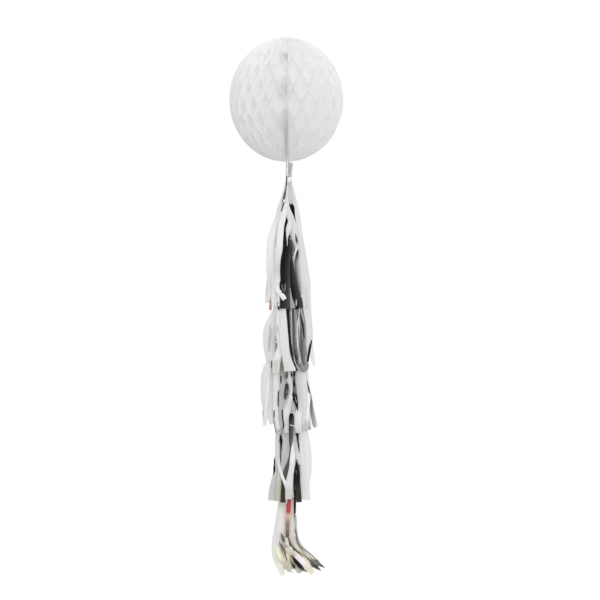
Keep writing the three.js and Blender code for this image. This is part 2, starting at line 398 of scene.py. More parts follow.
# %% Glue lines
GLUE_PITCH = 0.036  # height from one row of glue lines to the next
GLUE_RISE = 0.0207  # height of one row of glue lines above the ball's middle
GLUE_SHARE = 0.2  # share of its height along which a leaf lies flat on its glue lines
COLUMN_STRAY = 0.1  # how far a column of cells strays to one side, as a share of its width
COLUMN_SEED, COLUMN_WAVES = 1.7, 18
SEAM_ASIDE = 0.0030  # how far the seam runs to the right of the cord
LEAF_GAP = 0.00025


def swing(z):
    """How far a leaf leans to one side at a height: from -1 to 1, and level along the glue lines."""
    wave = math.cos(math.pi * (z - ball_middle - GLUE_RISE) / GLUE_PITCH)
    slope = math.asin(max(-1.0, min(1.0, wave))) * 2 / math.pi
    return max(-1.0, min(1.0, slope / (1 - GLUE_SHARE)))


def column_angle(column, z):
    """The angle of a column of glue lines at a height. The middle column is the seam."""
    if column == LEAVES // 2:
        return SEAM_ASIDE / rim(z)
    stray = COLUMN_STRAY * noise.noise(Vector((column * COLUMN_SEED, z * COLUMN_WAVES, 0)))
    return opened((column + stray) * column_step - math.pi)


def leaf_angle(leaf, z, radius):
    """The angle of a leaf at a height, between the columns of glue lines on its left and its right."""
    lean = swing(z) if leaf % 2 == 0 else -swing(z)
    left, right = column_angle(leaf, z), column_angle(leaf + 1, z)
    gap = LEAF_GAP / radius
    return (left + right) / 2 + lean * ((right - left) / 2 - gap)


print(f"about {2 * ball_half / GLUE_PITCH:.1f} rows of glue lines from pole to pole")

# %% [markdown]
# ## Wells and seam
#
# Each cell is a well that narrows towards the spine and ends in shade. The deepest part never shows, so
# the leaves start at a white core there, and `packed` says how deep the wells go. Beside the seam the
# wells are deeper and make the dark zigzag that runs down the front. The first and the last leaf lie flat
# on each other at the seam and part a little towards the bottom.

# %% Wells and seam
PACKED, PACKED_MORE = 0.85, 0.05  # the wells end at this share of the radius, sooner on the right
POCKET_LEFT, POCKET_RIGHT = -1.2, 0.22  # the deeper wells beside the seam, in columns from the front
POCKET_DEPTH = 0.55  # share of the radius where they end
SEAM_TOP = 0.045  # the seam is closed this far down from the top pole
SEAM_PARTING = 0.026  # the seam opens from this far below the ball's middle
SEAM_FADE = 0.025  # height over which the opening grows to its full depth
SEAM_LEFT = -0.3  # the opening shows from here, in columns from the front
SEAM_HALF, SEAM_GAPE = 0.0004, 0.0040  # half the width of the seam, closed and gaping


def packed(angle, z):
    """The share of the radius where the wells end, at an angle from the front and a height."""
    share = PACKED + PACKED_MORE * math.sin(angle)
    aside = angle / column_step
    if not POCKET_LEFT < aside < POCKET_RIGHT or z > ball_high.z - SEAM_TOP:
        return share
    pocket = max(0.0, swing(z)) * min(1.0, aside - POCKET_LEFT)
    if aside > SEAM_LEFT:
        pocket = max(pocket, min(1.0, (ball_middle - SEAM_PARTING - z) / SEAM_FADE))
    return share - (share - POCKET_DEPTH) * pocket


def seam_angle(side, z, radius):
    """The angle of the flat leaf on one side of the seam, which gapes towards the bottom."""
    gape = max(0.0, ball_middle - SEAM_PARTING - z) / ball_half
    return SEAM_ASIDE / rim(z) + side * (SEAM_HALF + SEAM_GAPE * gape) / radius


well_depths = [round(1000 * ball_radius * (1 - share)) for share in (PACKED, POCKET_DEPTH)]
print("depth of the wells, and beside the seam, in mm:", well_depths)

# %% [markdown]
# ## Leaves and core
#
# One leaf is a flat grid: one way runs from the core to the rim, the other from the bottom pole to the
# top. Its points are turned about the spine by its angle at their height. A little noise frays the cut
# rim and makes the leaf flutter. The core is a UV sphere whose points are drawn in to where the wells end.

# %% Leaves and core
WHITE = (0.972, 0.972, 0.968, 1.0)
LEAF_OUT, LEAF_UP = 8, 80
RIM_CROWDING = 0.8  # below 1, the points of a leaf lie closer towards its rim
RIM_STRAY, RIM_WAVES = 0.0006, 60
FLUTTER = 0.6 / 7  # how far a leaf flutters to one side, as a share of a column's width
FLUTTER_SEED, FLUTTER_WAVES = 3.1, 25
LEAST_LEAF = 0.0001
SEAM_SUNK = 0.0035  # the leaves at the seam stay this far inside the others above the middle
SEAM_SEED = 90
CORE_ROUND, CORE_UP = 132, 40
CORE_HEIGHT = 0.998  # as a share of the ball's height

well_height = ball_middle + GLUE_RISE + GLUE_PITCH / 2
ball = bmesh.new()
white_layer = ball.verts.layers.float_color.new(TINT_LAYER)


def leaf_sheet(angle_at, seed, sunk=0.0):
    """One leaf of the ball. angle_at gives its angle at a height and a radius."""
    sheet = bmesh.ops.create_grid(ball, x_segments=LEAF_OUT, y_segments=LEAF_UP, size=0.5)
    start = angle_at(well_height, ball_radius)
    for v in sheet["verts"]:
        z = ball_middle + 2 * v.co.y * ball_half
        out = (v.co.x + 0.5) ** RIM_CROWDING
        frayed = RIM_STRAY * (1 + noise.noise(Vector((seed, z * RIM_WAVES, 0))))
        edge = rim(z) - sunk * (z > ball_middle) - frayed
        well = packed(start, z) * rim(z)
        radius = well + (max(edge, well + LEAST_LEAF) - well) * out
        flutter = FLUTTER * out * noise.noise(Vector((seed * FLUTTER_SEED, z * FLUTTER_WAVES, out)))
        turn = angle_at(z, radius) + flutter * column_step
        v.co = (radius * math.sin(turn), -radius * math.cos(turn), z)
        v[white_layer] = WHITE


def put_in_order(parts, place):
    """Sorts points or faces by their place. A new sphere has them in any order, another in each run."""
    ranks = {part: rank for rank, part in enumerate(sorted(parts, key=lambda part: tuple(place(part))))}
    parts.sort(key=ranks.get)


for leaf in range(LEAVES):
    leaf_sheet(lambda z, radius, leaf=leaf: leaf_angle(leaf, z, radius), leaf)
for side in (-1, 1):
    leaf_sheet(lambda z, radius, side=side: seam_angle(side, z, radius), SEAM_SEED + side, SEAM_SUNK)
core = bmesh.ops.create_uvsphere(ball, u_segments=CORE_ROUND, v_segments=CORE_UP, radius=1.0)
for v in core["verts"]:
    z = ball_middle + v.co.z * ball_half * CORE_HEIGHT
    turn = math.atan2(v.co.x, -v.co.y)
    radius = packed(turn, z) * rim(z)
    v.co = (radius * math.sin(turn), -radius * math.cos(turn), z)
    v[white_layer] = WHITE
put_in_order(ball.verts, lambda v: v.co)
put_in_order(ball.faces, lambda face: face.calc_center_median())
finished(ball, "honeycomb_ball", LEAF, "white_tissue")

# %% [markdown]
# ## One strip
#
# A strip of fringe is a flat grid too. Its middle follows a smooth line through a few points, and at each
# place along the line it has a width, a tint and a direction that it faces. A curve with a flat bevel
# could follow the same line, but it couldn't be turned and narrowed so freely. A slight crown across the
# strip and a small ripple keep it from looking like a ruler.

# %% Strips
STRIP_ACROSS, STRIP_ALONG = 4, 30
LOOK_AHEAD = 0.01  # share of the line over which its direction is measured
LEAST_FALL = 0.35  # where a line falls less than this, its strip tilts no further back
RIPPLE_ALONG, RIPPLE_ACROSS = 7, 0.8


def along(points, share):
    """The place on a smooth line through points, at a share from 0 to 1 of its way."""
    last = len(points) - 1
    way = min(max(share, 0.0), 1.0) * last
    i = min(int(way), last - 1)
    t = way - i
    a, b, c, d = (points[min(max(k, 0), last)] for k in (i - 1, i, i + 1, i + 2))
    bend = 2 * a - 5 * b + 4 * c - d
    return b + (c - a) * (t / 2) + bend * (t * t / 2) + (3 * b - a - 3 * c + d) * (t**3 / 2)


def lay_strip(bm, line, widths, faces, tints, crown, ripple, seed):
    """One strip. line, widths, faces (degrees from the front to the right) and tints run top to tip."""
    tint_layer = bm.verts.layers.float_color.get(TINT_LAYER)
    sheet = bmesh.ops.create_grid(bm, x_segments=STRIP_ACROSS, y_segments=STRIP_ALONG, size=0.5)
    for v in sheet["verts"]:
        side, share = 2 * v.co.x, 0.5 - v.co.y
        middle = along(line, share)
        ahead = (along(line, share + LOOK_AHEAD) - along(line, share - LOOK_AHEAD)).normalized()
        face = math.radians(along(faces, share))
        outward = Vector((math.sin(face), -math.cos(face), 0))
        outward.z = -outward.dot(ahead) / min(ahead.z, -LEAST_FALL)
        sideways = outward.cross(ahead).normalized()
        outward = ahead.cross(sideways)
        half = along(widths, share) / 2
        wave = ripple * noise.noise(Vector((seed, share * RIPPLE_ALONG, side * RIPPLE_ACROSS)))
        v.co = middle + sideways * (side * half) + outward * (half * crown * (1 - side * side) + wave)
        v[tint_layer] = along(tints, share)


print(f"a strip is a grid of {STRIP_ACROSS} by {STRIP_ALONG} faces")

# %% [markdown]
# ## Five skirts
#
# Each tassel is a rolled neck and a skirt of strips. The frame gives the place of each neck. `reach` is
# the radius of the skirt, which swells quickly below the neck and then hangs almost straight. `spot`
# takes a place in the photograph to the front of that skirt, and the layer says how far in front of its
# neighbours a strip hangs there.

# %% Skirts
NECK_HEIGHT = 0.041
ROOT_RADIUS = 0.005
LOWEST = 5  # the lowest tassel is of foil alone, and its tips sweep to the right
FRONT_SHARE = 0.72  # the listed strips hang at this share of the skirt's reach
EDGE_SHARE = 0.3  # and at its edges no less than this share of it in front of the cord
NECK_FRONT = 0.0055  # nor less than this far in front of it
LAYER_GAP = 0.0015
LAYERS_FULL = 0.02  # the layers lie closer where the reach is less than this


class Tassel:
    """One skirt. left is how full its left side is, aside how far to the right of the cord it starts."""

    def __init__(self, number, length, spread, left=1.0, aside=0.0):
        self.number = number
        self.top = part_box(f"tassel_{number}_foil")[1].z - NECK_HEIGHT
        self.length = length
        self.spread = spread
        self.left = left
        self.aside = aside

    def reach(self, z):
        """The radius of the skirt at a height."""
        share = min(max((self.top - z) / self.length, 0.0), 1.0)
        return ROOT_RADIUS + (self.spread - ROOT_RADIUS) * math.sin(math.pi / 2 * share)

    def spot(self, column, row, layer):
        """A place on the front of the skirt, from the photograph's column and row."""
        x, z = across(column), height(row)
        reach = self.reach(z)
        front = math.sqrt(max((FRONT_SHARE * reach) ** 2 - x * x, (EDGE_SHARE * reach) ** 2, NECK_FRONT**2))
        return Vector((x, -front - layer * LAYER_GAP * min(1.0, reach / LAYERS_FULL), z))


tassels = [
    Tassel(1, 0.274, 0.049, aside=0.0045),
    Tassel(2, 0.274, 0.051, left=0.72),
    Tassel(3, 0.274, 0.056),
    Tassel(4, 0.274, 0.047, left=0.55),
    Tassel(LOWEST, 0.283, 0.024),
]
print("neck feet:", [round(t.top, 3) for t in tassels])

# %% [markdown]
# ## Tints
#
# White tissue looks grey where it lies deep in a skirt, because each layer above it takes a little of the
# light, and the grey tints paint that shade on. Foil is one silver, and its matt tints are painted
# reflections of what its narrow folds mirror: greys and blacks, a few glints, and on the lower tassels
# cream, green, pink, red and brown. A tint could also come from a material of its own, but then a strip
# couldn't change from one to the next along its length.

# %% Tints
TINTS = {  # red, green, blue and mirror: 1 is the bright face of the foil, 0 is matt
    # tissue: white, then painted shade from the front to deep in the skirt
    "white": Vector((0.97, 0.97, 0.965, 1.0)),
    "soft": Vector((0.865, 0.865, 0.86, 1.0)),
    "dim": Vector((0.74, 0.74, 0.735, 1.0)),
    "shade": Vector((0.57, 0.57, 0.565, 1.0)),
    # the bright face of the foil
    "silver": Vector((0.88, 0.89, 0.91, 1.0)),
    # painted reflections and glints on matt foil: greys, from light to black
    "snow": Vector((0.95, 0.95, 0.94, 0.0)),
    "bone": Vector((0.86, 0.85, 0.81, 0.0)),
    "mist": Vector((0.7, 0.71, 0.66, 0.0)),
    "pale": Vector((0.63, 0.63, 0.61, 0.0)),
    "haze": Vector((0.61, 0.61, 0.655, 0.0)),
    "ash": Vector((0.52, 0.52, 0.51, 0.0)),
    "stone": Vector((0.36, 0.36, 0.35, 0.0)),
    "lead": Vector((0.31, 0.31, 0.3, 0.0)),
    "slate": Vector((0.19, 0.19, 0.17, 0.0)),
    "dusk": Vector((0.085, 0.085, 0.078, 0.0)),
    "olive": Vector((0.04, 0.036, 0.024, 0.0)),
    "jet": Vector((0.013, 0.013, 0.011, 0.0)),
    # painted reflections on matt foil: cream and green
    "butter": Vector((0.96, 0.94, 0.74, 0.0)),
    "green": Vector((0.85, 0.89, 0.76, 0.0)),
    "shell": Vector((0.82, 0.82, 0.71, 0.0)),
    "cream": Vector((0.83, 0.8, 0.62, 0.0)),
    "straw": Vector((0.68, 0.64, 0.51, 0.0)),
    "sage": Vector((0.54, 0.55, 0.455, 0.0)),
    # painted reflections on matt foil: pink, red and brown
    "petal": Vector((0.95, 0.89, 0.92, 0.0)),
    "blush": Vector((0.97, 0.8, 0.72, 0.0)),
    "lilac": Vector((0.8, 0.745, 0.78, 0.0)),
    "pink": Vector((0.78, 0.74, 0.68, 0.0)),
    "putty": Vector((0.75, 0.67, 0.61, 0.0)),
    "pinkish": Vector((0.55, 0.48, 0.48, 0.0)),
    "beige": Vector((0.71, 0.5, 0.4, 0.0)),
    "red": Vector((0.54, 0.09, 0.12, 0.0)),
    "rust": Vector((0.4, 0.27, 0.22, 0.0)),
    "brown": Vector((0.3, 0.21, 0.185, 0.0)),
    "umber": Vector((0.15, 0.11, 0.095, 0.0)),
}
print(len(TINTS), "tints")

# %% [markdown]
# ## Strips of the first tassel
#
# The strips that the photograph shows are listed one by one, a row each: the name, the layer, the degrees
# that it faces to the right, the tint, and then column, row and width in pixels from top to tip. Facing
# matters most on foil: a mirror strip that faces the viewer shows the dark side of the room, and one that
# is turned aside shows the bright side.
#
# The first tassel starts with a bare foil neck under the ball. Its tissue parts in the middle and shows a
# long black mirror strip. The glints, the slits and the grey and brown marks on its foil are painted
# reflections in matt tints.

# %% First tassel
FIRST = {
    "tissue": [
        ("left outer", 1, -35, "white", [
            (284, 203, 4), (279, 214, 5), (274.5, 226, 6), (271, 240, 7), (270, 255, 7), (270, 270, 7),
            (270.5, 285, 6.5), (268.5, 296, 6), (267.5, 303, 5),
        ]),
        ("left second", 2, -20, "white", [
            (285, 203, 4), (281, 216, 5), (278, 230, 6.5), (275.5, 245, 7), (274.5, 260, 7),
            (275, 275, 7), (275, 288, 6.5), (274, 300, 6), (273.5, 306, 5),
        ]),
        ("left third", 5, -8,
            ("white", "white", "white", "white", "soft", "dim", "soft", "soft", "white", "white",
             "white"), [
            (286, 204, 4), (283.1, 218, 5.4), (281, 228, 5.8), (280, 242, 6), (278.5, 256, 6.5),
            (277.4, 270, 6), (277.4, 280, 6.2), (277.1, 285, 5.9), (277.9, 289.3, 5),
            (281.8, 295, 4.8), (285, 299.4, 4.6),
        ]),
        ("left fourth", 1, -12, "soft", [
            (285, 206, 3), (280, 222, 5), (277, 240, 6), (273, 262, 6), (272.5, 280, 6),
            (276.5, 296, 6), (277.5, 307, 5),
        ]),
        ("left tip", 4, 0, "white", [(278, 285, 3), (278.6, 296, 2.2), (279, 306, 1.6)]),
        ("front sliver", 4, 0, "soft", [
            (287, 186, 3), (286.2, 200, 3.4), (287.6, 211, 4.6), (289.7, 220, 3.8), (289.2, 225, 4.4),
            (288.4, 230, 4.8), (287.6, 235, 2.2), (287.4, 240, 0.8), (287.3, 246, 0.4),
        ]),
        ("front fold", 5, 5,
            ("soft", "soft", "soft", "soft", "soft", "soft", "dim", "dim", "dim", "dim", "dim", "dim"), [
            (286.5, 198, 3), (287.5, 207, 4), (290, 215, 5.5), (292.5, 222, 6), (294, 230, 6),
            (295, 238, 5.6), (296.8, 246, 5.2), (299.4, 256, 5), (301.3, 270, 5.8), (303.1, 285, 6),
            (304.5, 298, 5.5), (305.5, 309, 5),
        ]),
        ("right crossing", 6, 15, "soft", [
            (293, 198, 3), (296, 212, 4), (298, 224, 4.5), (299.5, 234, 3.5), (299, 241.5, 2.4),
            (296.8, 248, 1.8), (294.8, 255, 1.4), (294, 261, 0.8),
        ]),
        ("right first", 3, 30, "soft", [
            (292, 187, 2.5), (294.5, 199, 3.5), (297, 212, 5), (298.5, 226, 6), (300, 240, 6),
            (302, 252, 6), (303.5, 265, 7), (305, 280, 8), (306, 295, 8), (306.9, 310, 6.8),
            (308.3, 325, 5.2), (309.6, 338, 4.8),
        ]),
        ("right long", 2, 40, "soft", [
            (294.5, 198, 3), (297.5, 214, 4), (299.5, 232, 5), (302.5, 250, 5.5), (305, 266, 6),
            (307.5, 284, 6), (307.5, 300, 6), (308.5, 316, 6), (310, 332, 6), (310.5, 345, 5),
            (312.5, 357, 4), (314, 365, 2.5),
        ]),
    ],
    "foil": [
        ("neck back", 2, -27, "silver", [(288.1, 160.5, 2.6), (288, 168, 2.4), (287.8, 178, 2.6)]),
        ("neck right", 3, 0, "ash", [
            (291.4, 163.2, 3.2), (291.2, 167, 2.8), (290.7, 172, 2.5), (290.3, 178, 2.5),
        ]),
        ("neck front", 7, (-33, -33, -20, -10, 0, 0, 0, 0, 0, 0, 0),
            ("silver", "silver", "haze", "haze", "haze", "haze", "silver", "silver", "silver",
             "silver", "silver"), [
            (289.4, 177, 4.6), (289.5, 181, 4.6), (289.6, 183.5, 4.8), (290, 190, 5),
            (290.8, 196, 5.6), (291.3, 202, 5.6), (291.6, 205, 5.6), (292, 208.5, 5.2),
            (293.3, 212.5, 3.4), (294.8, 217, 2), (295.8, 222, 0.5),
        ]),
        ("neck left", 6, (28, 27, 25, 23, 20, 14, 8), "silver", [
            (286.9, 176, 1.2), (286.4, 184, 1.5), (286, 190, 1.6), (284.7, 196, 1.7), (284, 200, 1.6),
            (284, 203.5, 1.9), (281.6, 211.5, 1.2),
        ]),
        ("left glint", 9, 0, "snow", [(283.5, 199.4, 0.4), (284, 201.3, 1.4), (284.2, 203, 0.4)]),
        ("black left", 3, 0, "silver", [
            (286.8, 217, 0.3), (286.7, 219.5, 1.6), (286.5, 222, 3), (285.2, 228, 2.6),
            (284.5, 236, 3.2), (285, 243, 4), (285.1, 250, 4.8), (283.9, 260, 6.3), (283.5, 270, 6.7),
            (283.3, 280, 5.6), (282.4, 286, 5.8), (283, 293, 4),
        ]),
        ("dark centre", 2, 16, "silver", [
            (289.3, 233.5, 0.5), (289.6, 239, 3.6), (290, 245, 6), (289.9, 250, 7), (289, 257, 7),
            (288.5, 268, 7.5), (288, 280, 8), (286.8, 290, 9.4), (285.7, 300, 10.8),
            (285.7, 308.6, 11.4),
        ]),
        ("dark right", 3, 14, "silver", [
            (290.8, 238, 0.5), (291.5, 250, 1), (291.6, 258, 1.5), (292, 265, 3.4), (292.9, 274, 5.6),
            (294.1, 284, 7.4), (295.6, 294, 8.6), (298.2, 303, 9), (299, 308.6, 8.6),
        ]),
        ("light wedge", 4, 0, "stone", [
            (290.2, 288, 0.5), (290.9, 296, 1.8), (291.9, 302, 3.4), (293, 308, 5),
        ]),
        ("black leaf", 10, 0, "dusk", [
            (295.5, 234, 0.4), (296.2, 238, 1.8), (296.9, 240.8, 2.1), (297.5, 243.6, 0.5),
        ]),
        ("grey right", 6, (4, 8, 20, 28, 29, 29, 29, 29), "silver", [
            (297.7, 249, 0.5), (297.4, 252.5, 2.3), (296.6, 257, 3.4), (295.8, 262, 3),
            (296, 268, 2.5), (297.1, 276, 2.3), (298.7, 286, 2.1), (300.6, 297, 1),
        ]),
        ("low slit", 6, 0, "pale", [(296.5, 299.5, 0.3), (296.3, 303, 1.1), (296.2, 306, 0.5)]),
        # the brown of this foil tip is a painted reflection
        ("russet reflection tip", 6, -10, "rust", [(270.8, 298, 0.5), (270.7, 303.5, 2.2), (270.5, 310, 2.8)]),
        ("low hook", 3, 4, "silver", [
            (278, 301.5, 0.8), (278.6, 306, 2), (280, 309.2, 3), (283, 309.6, 2.2),
        ]),
        ("curl line", 7, 0, "slate", [(281.8, 284, 0.3), (282.4, 288, 0.8), (283.4, 291.5, 0.3)]),
        ("fold line", 7, 0, "stone", [(285.6, 284, 0.3), (285.2, 288, 0.7), (284.6, 292, 0.3)]),
        ("edge glint", 7, 0, "snow", [(302.8, 293.5, 0.5), (301.6, 295.5, 1.5), (300.8, 297.5, 0.5)]),
    ],
}
print("first tassel:", sum(map(len, FIRST.values())), "strips laid by hand")

# %% [markdown]
# ## Strips of the second tassel
#
# Here the tissue hangs on the left and the foil on the right. A black band, a silver strip and a grey one
# lie side by side, with bright lines where their edges turn. Their ends, the peeks between the tissue
# strips and the pale end at the lower left are painted reflections in matt tints, and a thin strip paints
# the shadow of a fold in the tissue.

# %% Second tassel
SECOND = {
    "tissue": [
        ("left outer", 2, -30, "soft", [
            (279, 306, 6), (274.6, 314.5, 7), (270.4, 322, 8), (267.6, 330, 8.5), (266.8, 339, 7.6),
            (267.5, 350, 7), (268.5, 360, 5), (269.5, 370, 4),
        ]),
        ("left second", 3, -15, "soft", [
            (278, 306, 6), (275, 318, 7), (272.8, 330, 8), (272, 342, 8.4), (272, 353, 8.2),
            (273, 361, 6),
        ]),
        # a thin tissue strip tinted dark as the painted shadow of a fold
        ("left fold shadow", 9, -15, "shade", [
            (270.8, 323, 0.4), (270.6, 330, 2), (270.2, 337, 2.4), (269.6, 344, 2.2),
            (269.2, 351, 0.5),
        ]),
        ("left third", 4, -5, "white", [
            (280.5, 306, 6), (279.5, 320, 6.5), (278.5, 334, 5), (279, 346, 6), (278.6, 354, 7.8),
            (277.6, 360.5, 8.2),
        ]),
        ("front", 6, 2, "soft", [
            (282.4, 306, 6), (283.2, 314, 6.4), (283.7, 321, 6.6), (284, 334, 8), (284.8, 346, 8.5),
            (286.2, 355, 8.4), (287.8, 362, 9.6), (289.6, 367.2, 11.2), (290, 370.8, 11.6),
        ]),
        ("right", 2, 25, "soft", [
            (306, 306, 5), (307.2, 320, 4.4), (308, 334, 4.4), (308.4, 344, 3.6), (308, 351, 1.5),
            (307.6, 355, 0.4),
        ]),
    ],
    "foil": [
        ("black band", 5, 0, "silver", [
            (287.3, 304, 4.4), (287.9, 314, 3.3), (288.5, 321, 2.7), (289, 330, 2.6), (290, 342, 2.6),
            (291.5, 352, 2.4), (293.5, 361, 2), (295.2, 365.5, 1.9),
        ]),
        ("band end", 9, 0, "jet", [
            (291.1, 350, 0.8), (292, 355, 1.6), (292.9, 359, 1.7), (294.1, 362.5, 1.8),
            (295.2, 366, 1.8), (296.3, 368.5, 1.8), (297.7, 370.8, 1.6),
        ]),
        ("light streak", 4, -28, "silver", [
            (291, 306, 1.8), (291.4, 322, 1.5), (292, 338, 1.5), (293.1, 348, 1.3), (294.6, 356, 0.3),
            (295.4, 361.5, 0.8),
        ]),
        ("streak end", 10, 0, "ash", [
            (293.9, 356, 0.3), (294.6, 360.5, 0.7), (296.2, 364, 1), (298.6, 367.8, 1.7),
            (300.5, 370.6, 1.2),
        ]),
        ("dark second", 3, (14, 18, 22, 22, 16, 20), "silver", [
            (292.6, 306, 2.5), (293, 320, 2.5), (293.8, 335, 2.8), (295, 348, 3.5), (296.6, 358, 4.4),
            (299.6, 367, 3),
        ]),
        ("silver middle", 2, 36, "silver", [
            (295, 306, 4.5), (295.8, 320, 4.5), (296.8, 334, 4.5), (298, 346, 4), (299.5, 356, 3),
            (300.5, 363, 2),
        ]),
        ("light line", 10, -30,
            ("silver", "silver", "silver", "silver", "silver", "pale", "mist", "mist", "mist"), [
            (299.4, 306, 1.2), (299.1, 315, 1.1), (297.8, 322, 1.1), (297.5, 336, 1), (298, 346, 1),
            (298.9, 353, 1.2), (299.8, 358, 2), (300.4, 362.6, 2.2), (302.7, 365, 1.6),
        ]),
        ("grey right", 6, 28.5, "silver", [
            (302, 306, 5), (302.6, 320, 5.5), (302.8, 335, 5.5), (303.6, 350, 6), (304.2, 359, 6.6),
            (304.4, 365, 6),
        ]),
        ("dark line", 8, 10, "silver", [
            (300.4, 304, 1.1), (300.7, 312, 1.1), (301.4, 317.5, 1.3), (302.1, 321.5, 1.7),
            (303, 326, 1.8), (304.2, 338, 1.5),
        ]),
        ("light thread", 9, 0, "ash", [
            (300.9, 304, 0.3), (301.2, 310, 0.9), (302, 314.5, 0.9), (303, 318.5, 0.9),
            (303.6, 322.5, 0.3),
        ]),
        ("crumpled end", 9, 0, "lead", [
            (297.4, 360, 0.3), (299.6, 365.4, 1.8), (301.3, 368.2, 3.8), (303.6, 369.4, 5),
            (306, 367.2, 5), (307.8, 363, 2.6),
        ]),
        ("right black", 6, 0, "silver", [
            (311, 339.5, 0.8), (310.2, 346, 2.2), (308.8, 354, 2.3), (307.5, 362, 2),
        ]),
        ("upper peek", 9, 0, "stone", [(275.5, 335.5, 0.5), (275.9, 338.5, 1.4), (277, 341, 0.8)]),
        ("thin peek", 9, 0, "stone", [(278, 324, 0.3), (277.5, 329, 0.8), (276.9, 334.5, 0.3)]),
        ("lower peek", 9, 0, "slate", [(276.6, 342.8, 1.6), (276.4, 346, 1.5), (275.6, 351, 0.5)]),
        ("left fold", 6, 0, "dusk", [(272.2, 360, 0.5), (271.8, 364, 1.2), (271.3, 368, 0.6)]),
        ("olive wedge", 5, 0, ("slate", "slate", "slate", "stone"), [
            (282.5, 354, 0.4), (282.1, 361, 2), (281.8, 368, 3.3), (281.7, 375, 3),
        ]),
        ("pale end", 3, 0, "mist", [(276.6, 357.5, 7.5), (276.6, 366, 8), (276.4, 373, 7.6)]),
        ("pale side", 4, 0, "bone", [
            (278.8, 357, 0.6), (278.8, 362, 2.2), (278.6, 368, 2.2), (278.2, 373, 1.8),
        ]),
    ],
}
print("second tassel:", sum(map(len, SECOND.values())), "strips laid by hand")

# %% [markdown]
# ## Strips of the third tassel
#
# The third tassel is the fullest. Tissue covers most of it, and the foil shows as dark leaves that cross
# in the gaps, some mirroring the dark room and some painted black, and as tips with a painted pink
# reflection at the lower right.

